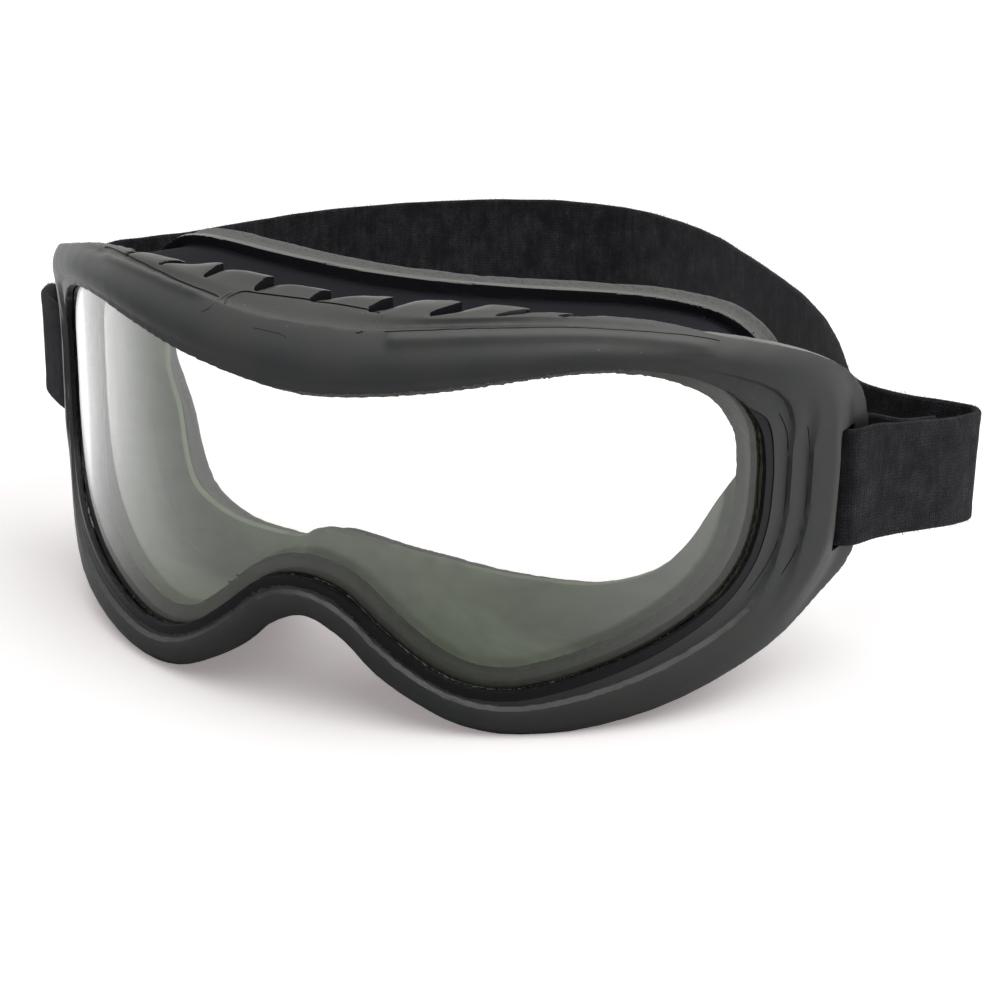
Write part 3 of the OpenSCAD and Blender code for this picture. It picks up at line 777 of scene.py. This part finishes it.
def raise_edges(mesh):
    """Raises a soft edge along the front of each brow crease."""
    p, n = points_of(mesh), normals_of(mesh)
    top = np.flatnonzero((n[:, 2] > TOP_UP) & (p[:, 2] > BROW_Z - TOP_BELOW))
    for run in BROW_CREASES:
        line = curve_through(run, EDGE_STEPS)
        step = np.gradient(line, axis=0)
        crest = line + unit_rows(np.stack([step[:, 1], -step[:, 0]], axis=1)) * EDGE_AHEAD
        place = np.arange(len(line))
        ends = smooth_step(0, EDGE_FADE, np.minimum(place, place[::-1]) * EDGE_STEP)
        gap = np.linalg.norm(p[top, None, :2] - crest[None], axis=2)
        near = gap.argmin(axis=1)
        height = EDGE_H * ends[near] * np.exp(-(gap.min(axis=1) / EDGE_W) ** 2)
        p[top] += n[top] * height[:, None]
    set_points(mesh, p)


def on_surface(tree, run, sink):
    """Drops plan points onto the brow and sinks them along its normal."""
    found = []
    for x, y in curve_through(run, LINE_STEPS):
        hit, normal, _, _ = tree.ray_cast(Vector((x, y, ABOVE_Z)) * MM, Vector((0, 0, -1)))
        found.append((hit - normal * sink * MM) / MM)
    return found


def face_data(mesh):
    """Middle of each face in millimetres, and its normal."""
    return vectors_of(mesh.polygons, "center") / MM, vectors_of(mesh.polygons, "normal")


def flange_front(x):
    """Place and height of the seal flange's upper front edge."""
    return (np.interp(np.abs(x), FLANGE_RIM[:, 0], FLANGE_RIM[:, i]) for i in (1, 2))


def shaded_channel_faces(mid, facing):
    """The air channel between the louvres and the seal flange, the ends of the louvres and the deck's rear wall:
    painted shade.
    """
    x, y, z = mid.T
    back, up = facing[:, 1], facing[:, 2]
    depth = y - ridge_y(x)
    flange, top = flange_front(x)
    behind = (depth > LOUVRE_DEPTH + CHANNEL_GAP) & (facing @ np.array(CHANNEL_WAY) > CHANNEL_TURN)
    ends = (depth > NOTCH_FRONT - END_ROOM) & (np.abs(up) < END_UPRIGHT) & (z > BROW_Z - END_BELOW)
    rear = (depth > LOUVRE_DEPTH - REAR_ROOM) & (back > LOOKS_BACK) & (z > WINDOW_Z)
    at_edge = (y < flange + FLANGE_BEHIND) & ((back < -FLANGE_AHEAD) | (z < top - FLANGE_LIP))
    before = (y < flange - FLANGE_BEFORE) | at_edge
    along = (up > LOOKS_UP) | (back < -LOOKS_AHEAD)
    slant = np.stack([np.abs(x), y, z], axis=1) @ np.array(CHANNEL_SLANT)
    within = (np.abs(x) < CHANNEL_HALF) | ((slant < CHANNEL_END) & along)
    return (behind | ends | rear) & before & within & (z > CHANNEL_FLOOR)


def shaded_window_faces(mid, facing):
    """The walls of the vent windows in the floor of the channel: painted shade."""
    x, y, z = mid.T
    upright = np.abs(facing[:, 2]) < WINDOW_UPRIGHT
    return (y - ridge_y(x) > LOUVRE_DEPTH) & (z > WINDOW_Z) & upright & (np.abs(x) < CHANNEL_HALF)


def part_faces(mesh):
    """Cuts the faces along the floor and the ends of the channel, so that its painted shade ends in clean lines."""
    slants = [Vector(CHANNEL_SLANT) * Vector((side, 1, 1)) for side in (-1, 1)]
    planes = [(Vector((0, 0, CHANNEL_FLOOR)), (0, 0, 1)), *((way * CHANNEL_END, way) for way in slants)]
    bm = bmesh.new()
    bm.from_mesh(mesh)
    for at, way in planes:
        bmesh.ops.bisect_plane(bm, geom=[*bm.verts, *bm.edges, *bm.faces], plane_co=at * MM, plane_no=way)
    bm.to_mesh(mesh)
    bm.free()


def wrap_place(points):
    """Angle round the axis of the lens, and distance from it."""
    x, y = points[:, 0], LENS_AXIS_Y - points[:, 1]
    return np.arctan2(x, y), np.hypot(x, y)


def on_wrap(angle, z, radius):
    """Points at an angle round the axis of the lens."""
    return np.stack([radius * np.sin(angle), LENS_AXIS_Y - radius * np.cos(angle), z], axis=-1)


def lip_path():
    """Edge of the lens on the unrolled wrap, from under the brow round both lobes and the nose; the way inward from it,
    and how far in the lip starts."""
    (low, high), _ = lens_edges("outer_lens")
    beside = high[(high[:, 1] < LIP_TOP) & (np.abs(high[:, 0]) * WRAP_R > LIP_FROM)]
    path = np.vstack([beside[beside[:, 0] < 0][::-1], low, beside[beside[:, 0] > 0][::-1]]) * (WRAP_R, 1)
    length = run_length(path)
    even = np.arange(0, length[-1], LIP_STEP)
    path = np.stack([np.interp(even, length, path[:, i]) for i in (0, 1)], axis=1)
    for _ in range(LIP_ROUNDS):
        path[1:-1] = (path[:-2] + 2 * path[1:-1] + path[2:]) / 4
    step = np.gradient(path, axis=0)
    inward = unit_rows(np.stack([-step[:, 1], step[:, 0]], axis=1))
    to_end = np.minimum(even, even[-1] - even)
    return path, inward, LIP_OUT + (LIP_W - LIP_LEAST - LIP_OUT) * smooth_step(LIP_FADE, 0, to_end)


def lip_cutter():
    """Shallow cutter over the lip."""
    path, inward, start = lip_path()
    inner, outer = path + inward * LIP_W, path + inward * start[:, None]
    corners = [(outer, -LIP_SINK), (inner, -LIP_SINK), (inner, LIP_CLEAR), (outer, LIP_CLEAR)]
    rings = [on_wrap(flat[:, 0] / WRAP_R, flat[:, 1], WRAP_R + rise) for flat, rise in corners]
    return loft("lip_cutter", [np.stack(rings, axis=1)])


def lip_shade_faces(mid):
    """The floor of the lip, and its edge towards the lens, which get painted shade."""
    path, inward, start = lip_path()
    angle, radius = wrap_place(mid)
    flat = np.stack([angle * WRAP_R, mid[:, 2]], axis=1)
    lip = np.zeros(len(mid), dtype=bool)
    for i in np.flatnonzero((radius > WRAP_R - LENS_ROOM) & (radius < WRAP_R - LIP_SINK + LIP_OVER)):
        away = flat[i] - path
        far = np.linalg.norm(away, axis=1)
        near = far.argmin()
        lip[i] = far[near] < LIP_W + LIP_EDGE and away[near] @ inward[near] > start[near] - LIP_BESIDE
    return lip


def lit_inner_faces(tree, mid, facing):
    """Faces behind the lens that look into the hollow with nothing in between; they get painted light."""
    inner = np.zeros(len(mid), dtype=bool)
    behind = wrap_place(mid)[1] < WRAP_R - LENS_ROOM
    for share, y, z in CAVITY_POINTS:
        way = np.stack([mid[:, 0] * share, np.full(len(mid), y), np.full(len(mid), z)], axis=1) - mid
        far = np.linalg.norm(way, axis=1)
        for i in np.flatnonzero(behind & ~inner & (row_dots(way, facing) > 0)):
            start = Vector((mid[i] + facing[i] * SIGHT_CLEAR) * MM)
            inner[i] = tree.ray_cast(start, Vector(way[i]), (far[i] - 2 * SIGHT_CLEAR) * MM)[0] is None
    return inner


def make_frame(rubber, vent, inside, lip):
    """The soft moulding: evened out, detailed along the brow and beside the lens, and painted by zones: painted shade
    in the air channel and on the lip, painted light on the inner walls.
    """
    piece = welded_copy("frame", "goggle_frame")
    voxel_remesh(piece, FRAME_VOXEL)
    even_facets(piece.data)
    shape_louvres(piece.data)
    raise_edges(piece.data)
    modify(piece, "DECIMATE", ratio=FRAME_KEEP)
    tree = BVHTree.FromObject(piece, bpy.context.evaluated_depsgraph_get())

    def brow_bars(name, runs, sink, radius):
        return tube(name, [on_surface(tree, run, sink) for run in runs], radius)

    combine(piece, brow_bars("beads", PLATE_BORDERS, *PLATE_BEAD), "UNION")
    combine(piece, brow_bars("groove", (PLATE_LINE, PLATE_TICK), *PLATE_GROOVE), "DIFFERENCE")
    for run, radius in zip(BROW_CREASES, CREASE_R):
        combine(piece, brow_bars("crease", [run], CREASE_SINK, radius), "DIFFERENCE")
    combine(piece, brow_bars("scratch", [PLATE_SCRATCH], *PLATE_SCORE), "DIFFERENCE")
    steps = [curve_through(np.array(run) * (side, 1, 1), LINE_STEPS) for run in STEP_LINES for side in (-1, 1)]
    combine(piece, tube("steps", steps, STEP_GROOVE_R), "DIFFERENCE")
    combine(piece, lip_cutter(), "DIFFERENCE")
    part_faces(piece.data)
    shade_smooth(piece.data, FRAME_SHARP)
    dress(piece, "goggle", "frame_rubber", rubber, "frame")
    for material in (vent, inside, lip):
        piece.data.materials.append(material)
    mid, facing = face_data(piece.data)
    # Painted shade goes to the lip, the vent windows and the air channel; painted light goes to the inner walls
    zone = np.select([lip_shade_faces(mid), shaded_window_faces(mid, facing), lit_inner_faces(tree, mid, facing),
                      shaded_channel_faces(mid, facing)], [ZONE_LIP_SHADE, ZONE_VENT_SHADE, ZONE_INNER_LIGHT, ZONE_VENT_SHADE], ZONE_RUBBER)
    piece.data.polygons.foreach_set("material_index", zone.astype(np.int32))
    return piece


# Lenses, spacer, filter and slider

def lens_edges(node):
    """Lower and upper edge of a lens as angle and height, and the radii of its two faces."""
    p = np.unique(np.round(points_of(nodes[node].data), 3), axis=0)
    angle, radius = wrap_place(p)
    front = radius > (radius.min() + radius.max()) / 2
    edges = []
    for half in (p[:, 2] < LENS_SPLIT_Z, p[:, 2] >= LENS_SPLIT_Z):
        one = np.stack([angle, p[:, 2]], axis=1)[front & half]
        edges.append(curve_through(one[np.argsort(one[:, 0])], LENS_COLUMN_STEPS))
    return edges, (np.median(radius[front]), np.median(radius[~front]))


def make_lens(node, name, material):
    """The lens sheet on its true cylinder, in a fine grid so that it mirrors and bends light evenly."""
    (low, high), radii = lens_edges(node)
    columns, rows = len(low), LENS_ROWS
    share = np.linspace(0, 1, rows)[None, :, None]
    grid = low[:, None] + (high[:, None] - low[:, None]) * share
    points = np.concatenate([on_wrap(grid[..., 0], grid[..., 1], r).reshape(-1, 3) for r in radii])
    back = columns * rows
    faces = []
    for i in range(columns - 1):
        for j in range(rows - 1):
            a, b = i * rows + j, (i + 1) * rows + j
            faces += [(a, b, b + 1, a + 1), (back + a, back + a + 1, back + b + 1, back + b)]
    rim = ([i * rows for i in range(columns)] + [back - rows + j for j in range(1, rows)]
           + [i * rows + rows - 1 for i in range(columns - 2, -1, -1)] + list(range(rows - 2, 0, -1)))
    faces += [(a, a + back, b + back, b) for a, b in zip(rim, rim[1:] + rim[:1])]
    bm = bmesh.new()
    verts = [bm.verts.new(p * MM) for p in points]
    for corners in faces:
        bm.faces.new([verts[i] for i in corners])
    mesh = outward_mesh(bm, name)
    shade_smooth(mesh, LENS_SHARP)
    return dress(link_object(name, mesh), "goggle", "clear_lens", material, node)


def make_gasket(material):
    """Spacer ring, tucked in behind the lip, with a ragged inner edge."""
    piece, p, n = soft_piece("lens_gasket", "lens_spacer", SPACER_VOXEL, SMOOTH_ROUNDS)
    edge = smooth_step(*SPACER_RIM, np.abs(n[:, 1]))
    outer = n[:, 0] * p[:, 0] + n[:, 2] * (p[:, 2] - LENS_SPLIT_Z) > 0
    amount = np.where(p[:, 2] > LIP_TOP, RAGGED_BROW * smooth_step(*RAGGED_X, p[:, 0]), RAGGED_ELSE)
    push_out(piece, edge * np.where(outer, SPACER_TUCK, amount * rough(p, RAGGED)))
    return dress(piece, "goggle", "gasket", material, "lens_gasket")


def make_filter(material):
    """Vent foam with a pitted face."""
    piece, p, _ = soft_piece("brow_filter", "vent_filter", FILTER_VOXEL, SMOOTH_ROUNDS)
    push_out(piece, -PIT_DEPTH * (1 + noise_field(p, PIT_SIZE, PIT_SEED)))
    return dress(piece, "goggle", "filter", material, "brow_filter")


def make_slider(material):
    """Three-bar slider with rounded edges."""
    piece = welded_copy("strap_slider", "three_bar_slider")
    modify(piece, "BEVEL", width=SLIDER_ROUND * MM, segments=SLIDER_SEGMENTS, limit_method="ANGLE",
           angle_limit=math.radians(SLIDER_SHARP))
    shade_smooth(piece.data, SLIDER_SHARP)
    return dress(piece, "slider", "slider_plastic", material, "strap_slider")


# Foam

def make_foam(material):
    """Foam ring with soft corners, lumps and torn cells, except where it is glued to the frame."""
    piece, p, n = soft_piece("face_foam", "foam_seal", FOAM_VOXEL, FOAM_ROUNDS)
    torn = np.maximum(noise_field(p, TORN_SIZE, TORN_SEED) - TORN_FROM, 0) * TORN_DEPTH
    glued = smooth_step(*FOAM_GLUED, -n[:, 1])
    push_out(piece, (rough(p, FOAM_LUMPS) - torn) * (1 - glued))
    dress(piece, "goggle", "foam", material, "face_foam")
    return piece


# Strap

def by_bar(point, side):
    """A point given along the ear, out from its bar, and up."""
    along, out, rise = point
    x = BAR_MID[0] + EAR_DIR[0] * along + EAR_DIR[1] * out
    y = BAR_MID[1] + EAR_DIR[1] * along - EAR_DIR[0] * out
    return side * x, y, STRAP_Z + rise


def right_bend():
    """The bend round the bar of the right ear."""
    half = STRAP_T / 2 + RIM_T / 2 + LOOP_SLACK
    end = BAR_W / 2 + LOOP_NOSE + STRAP_T / 2 - half
    return [by_bar((-end - half * math.cos(a), half * math.sin(a), 0), 1)
            for a in np.radians(np.arange(-90, 91, 30))]


def run_point(point):
    """A point of the free run, moved from the bar as drawn to the true one."""
    x, y, rise = point
    return x + math.copysign(BAR_MID[0] - DRAWN_BAR_X, x), y + BAR_MID[1], STRAP_Z + rise


def stretch(t, layer):
    """A point on the straight stretch under the slider, in one of its two layers."""
    dx, dy = np.array(STRETCH_DIR) / math.hypot(*STRETCH_DIR)
    x = STRETCH_FROM[0] - (BAR_MID[0] - DRAWN_BAR_X) + dx * t - dy * layer
    y = STRETCH_FROM[1] + BAR_MID[1] + dy * t + dx * layer
    return x, y, STRAP_Z + STRETCH_RISE


def strap_route():
    """Middle line of the band, from its stitched end at the right ear to its tail at the left."""
    return ([by_bar(p, 1) for p in RIGHT_TAB] + right_bend() + [by_bar(p, 1) for p in RIGHT_LEG]
            + [run_point(p) for p in FREE_RUN]
            + [stretch(t, STRETCH_LAYER) for t in reversed(STRETCH_STOPS)]
            + [by_bar(p, -1) for p in LEFT_OUTER] + [by_bar(p, -1) for p in LEFT_INNER]
            + [stretch(t, -STRETCH_LAYER) for t in TAIL_STOPS])


def band_section():
    """Section of the band: offsets through its thickness and across its width."""
    half_w, half_t = STRAP_W / 2, STRAP_T / 2
    flat = half_w - half_t
    section = []
    for h in np.linspace(-flat, flat, STRAP_FACE_STEPS):
        section.append((half_t + SELVEDGE_T * (flat - abs(h) < SELVEDGE_W) - SELVEDGE_T, h))
    for a in np.radians((30, 60, 90, 120, 150)):
        section.append((half_t * math.cos(a), flat + half_t * math.sin(a)))
    for n, h in section[STRAP_FACE_STEPS - 1::-1]:
        section.append((-n, h))
    for a in np.radians((210, 240, 270, 300, 330)):
        section.append((half_t * math.cos(a), -flat + half_t * math.sin(a)))
    return np.array(section)


def make_strap(material):
    """One flat knitted band along its whole route, with rounded selvedges and a slightly wavy edge."""
    line = curve_through(strap_route(), STRAP_STEPS)
    step = np.gradient(line, axis=0)
    side = unit_rows(np.stack([step[:, 1], -step[:, 0], np.zeros(len(line))], axis=1))
    length = run_length(line)
    section = band_section()
    round_way = run_length(section)

    def wave(i, h, height, along, across, seed):
        return height * noise.noise((length[i] / along, h / across, seed))

    m = len(section)
    bm = bmesh.new()
    layer = bm.loops.layers.uv.new("band")
    rings = []
    for i, p in enumerate(line):
        ring = []
        bar = math.hypot(abs(p[0]) - BAR_MID[0], p[1] - BAR_MID[1])
        wide = 1 + SLOT_FILL * math.exp(-(bar / SLOT_NEAR) ** 2) / (STRAP_W / 2)
        for n, h in section * (1, wide):
            sway = wave(i, h, *SWAY) * (abs(h) / (STRAP_W / 2))
            puff = wave(i, h, *PUFF)
            q = p + side[i] * (n + puff * (1 if n > 0 else -1)) + np.array((0, 0, h + sway))
            ring.append(bm.verts.new(q * MM))
        rings.append(ring)
    for i in range(len(rings) - 1):
        for k in range(m):
            corners = ((i, k), (i, k + 1), (i + 1, k + 1), (i + 1, k))
            face = bm.faces.new([rings[a][b % m] for a, b in corners])
            for loop, (a, b) in zip(face.loops, corners):
                loop[layer].uv = (length[a], round_way[b] if b < m else round_way[-1] + UV_CLOSE)
    bm.faces.new(rings[0][::-1])
    bm.faces.new(rings[-1])
    mesh = outward_mesh(bm, "elastic_strap")
    shade_smooth(mesh, STRAP_SHARP)
    return dress(link_object("elastic_strap", mesh), "strap_band", "strap_fabric", material, "strap")


def make_fuzz(material):
    """Short loose fibres along both edges of the band."""
    line = curve_through(strap_route(), STRAP_STEPS)
    step = np.gradient(line, axis=0)
    length = run_length(line)
    chance = np.random.default_rng(FUZZ_SEED)
    runs = []
    for t in np.arange(0, length[-1], 1 / FUZZ_PER_MM):
        where, way = (np.array([np.interp(t, length, v[:, i]) for i in range(3)]) for v in (line, step))
        way /= np.linalg.norm(way)
        out = np.array((way[1], -way[0], 0))
        for up in (-1, 1):
            height = np.array((0, 0, up * (STRAP_W / 2 - FUZZ_INSET)))
            root = where + out * chance.uniform(-FUZZ_SPREAD, FUZZ_SPREAD) + height
            lean = way * chance.normal(0, FUZZ_LEAN[0]) + out * chance.normal(0, FUZZ_LEAN[1]) + np.array((0, 0, up))
            reach = chance.uniform(*FUZZ_REACH)
            curl = way * chance.normal(0, FUZZ_CURL) * reach
            runs.append([root, root + lean * reach * 0.5, root + lean * reach + curl])
    piece = tube("strap_fuzz", runs, FUZZ_R, sides=3)
    return dress(piece, "strap_band", "strap_fabric", material)


def make_stitches(material):
    """Two rows of short thread stitches on the inner face of the strap's end, closing the right loop."""
    line = curve_through(strap_route(), STRAP_STEPS)
    pitch = (STRAP_W - 2 * STITCH_L) / STITCH_COUNT
    runs = []
    for row in STITCH_ROWS:
        i = round(row * STRAP_STEPS)
        d = line[i + 1] - line[i - 1]
        out = np.array((d[1], -d[0], 0)) / math.hypot(d[0], d[1])
        base = line[i] + out * (STRAP_T / 2 + STITCH_D / 2 + STITCH_LIFT)
        for k in range(STITCH_COUNT):
            mid = base + np.array((0, 0, (k - (STITCH_COUNT - 1) / 2) * pitch))
            runs.append([mid + np.array((0, 0, t * STITCH_L / 2)) - out * STITCH_DIVE * t ** 4
                         for t in np.linspace(-1, 1, STITCH_POINTS)])
    piece = tube("loop_thread", runs, STITCH_D / 2, sides=STITCH_SIDES, taper=STITCH_TAPER)
    shade_smooth(piece.data, STRAP_SHARP)
    return dress(piece, "strap_band", "thread", material, "loop_stitching")


# Stage

class StageNodes(Nodes):
    """Nodes that tell rays apart by the way they came."""

    def __init__(self, tree):
        super().__init__(tree)
        self.path = self.add("ShaderNodeLightPath").outputs

    def mirrored(self):
        """1 for rays that gloss or glass has thrown back, until something matt scatters them."""
        thrown_back = self.math("GREATER_THAN", self.path["Glossy Depth"], 0.5)
        return self.math("MULTIPLY", self.path["Is Glossy Ray"], thrown_back)

    def seen_directly(self):
        """1 for rays from the camera, and for those that only pass through glass."""
        either = self.math("MAXIMUM", self.path["Is Camera Ray"], self.path["Is Transmission Ray"])
        return self.math("GREATER_THAN", either, self.mirrored())

    def by_ray(self, plain, glossy, direct):
        """One value for the light that is thrown on, one for what gloss sees, one for what is seen directly."""
        value = self.ramp(self.mirrored(), 0.0, 1.0, plain, glossy)
        return self.ramp(self.seen_directly(), 0.0, 1.0, value, direct)


def make_world():
    """White where it is seen directly; a softer sky for the light; for gloss, darker before the object than above."""
    world = bpy.data.worlds.new("studio")
    bpy.context.scene.world = world
    world.use_nodes = True
    s = StageNodes(world.node_tree)
    way = s.add("ShaderNodeTexCoord").outputs["Generated"]
    upward = s.add("ShaderNodeVectorMath", {0: way, 1: SKY_TOP_WAY}, operation="DOT_PRODUCT").outputs["Value"]
    gloss = s.ramp(upward, *SKY_RAMP, SKY_FRONT, SKY_TOP)
    tint = s.mix(s.ramp(upward, *SKY_RAMP, 0.0, 1.0), SKY_FRONT_TINT, SKY_TOP_TINT)
    sky = s.tree.nodes["Background"].inputs
    s.feed(sky["Color"], s.mix(s.mirrored(), (1.0, 1.0, 1.0), tint))
    s.feed(sky["Strength"], s.by_ray(SKY_DIFFUSE, gloss, 1.0))


def make_floor():
    """White floor that keeps the shadow; where it is seen directly it glows to meet the white behind, more so
    through glass. In reflections it carries painted shade before and under the object, and painted light behind it."""
    half, level = FLOOR_HALF * MM, FLOOR_Z * MM
    corners = [(x, y, level) for x, y in ((-half, -half), (half, -half), (half, half), (-half, half))]
    mesh = bpy.data.meshes.new("floor")
    mesh.from_pydata(corners, [], [(0, 1, 2, 3)])
    floor = link_object("floor", mesh)
    material = bpy.data.materials.new("floor_white")
    material.use_nodes = True
    material.node_tree.nodes.clear()
    s = StageNodes(material.node_tree)
    where = s.add("ShaderNodeTexCoord").outputs["Object"]
    y = s.add("ShaderNodeSeparateXYZ", {0: where}).outputs["Y"]
    # Painted shade and painted light in the floor's reflections: darker before and under the object, lighter behind it
    along = s.ramp(y, MIRROR_NEAR_Y * MM, MIRROR_FAR_Y * MM, MIRROR_NEAR, MIRROR_FAR)
    middle = Vector((*UNDER_AT, FLOOR_Z)) * MM
    away = s.add("ShaderNodeVectorMath", {0: where, 1: middle}, operation="DISTANCE").outputs["Value"]
    under = s.ramp(away, UNDER_REACH[0] * MM, UNDER_REACH[1] * MM, UNDER_SHARE, 1.0)
    color = s.by_ray(FLOOR_ALBEDO, s.math("MULTIPLY", along, under), FLOOR_SEEN)
    diffuse = s.add("ShaderNodeBsdfDiffuse", {"Color": color}).outputs[0]
    more = s.ramp(s.path["Is Transmission Ray"], 0.0, 1.0, 1.0, 1 + THROUGH_GLASS)
    strength = s.math("MULTIPLY", s.seen_directly(), more)
    glow = s.add("ShaderNodeEmission", {"Color": (*FLOOR_GLOW, 1), "Strength": strength}).outputs[0]
    both = s.add("ShaderNodeAddShader", {0: diffuse, 1: glow}).outputs[0]
    s.add("ShaderNodeOutputMaterial", {"Surface": both})
    mesh.materials.append(material)


def make_sun():
    lamp = bpy.data.lights.new("soft_sun", "SUN")
    lamp.energy = SUN_STRENGTH
    lamp.angle = math.radians(SUN_ANGLE)
    sun = bpy.data.objects.new("soft_sun", lamp)
    sun.rotation_euler = Vector(SUN_FROM).to_track_quat("Z", "Y").to_euler()
    bpy.context.scene.collection.objects.link(sun)


def make_camera():
    a, e, r = (math.radians(v) for v in (CAMERA_AZIMUTH, CAMERA_ELEVATION, CAMERA_ROLL))
    back = Vector((math.sin(a) * math.cos(e), -math.cos(a) * math.cos(e), math.sin(e)))
    right = Vector((math.cos(a), math.sin(a), 0))
    up = back.cross(right)
    x = right * math.cos(r) + up * math.sin(r)
    y = up * math.cos(r) - right * math.sin(r)
    data = bpy.data.cameras.new("photo_camera")
    data.lens = CAMERA_LENS
    data.sensor_width = CAMERA_SENSOR
    data.clip_start = CAMERA_CLIP * MM
    camera = bpy.data.objects.new("photo_camera", data)
    camera.matrix_world = Matrix.Translation(Vector(CAMERA_AT) * MM) @ Matrix((x, y, back)).transposed().to_4x4()
    bpy.context.scene.collection.objects.link(camera)
    bpy.context.scene.camera = camera


make_camera()
make_world()
make_sun()
make_floor()

glass = glass_material()
make_frame(rubber_material(), vent_shade_material(), inner_light_material(), lip_shade_material())
make_lens("outer_lens", "front_lens", glass)
make_lens("inner_lens", "rear_lens", glass)
make_gasket(gasket_material())
make_filter(filter_material())
make_foam(foam_material())
make_strap(strap_material())
make_fuzz(fuzz_material())
make_stitches(thread_material())
make_slider(slider_material())

bpy.context.scene.view_settings.view_transform = "Standard"
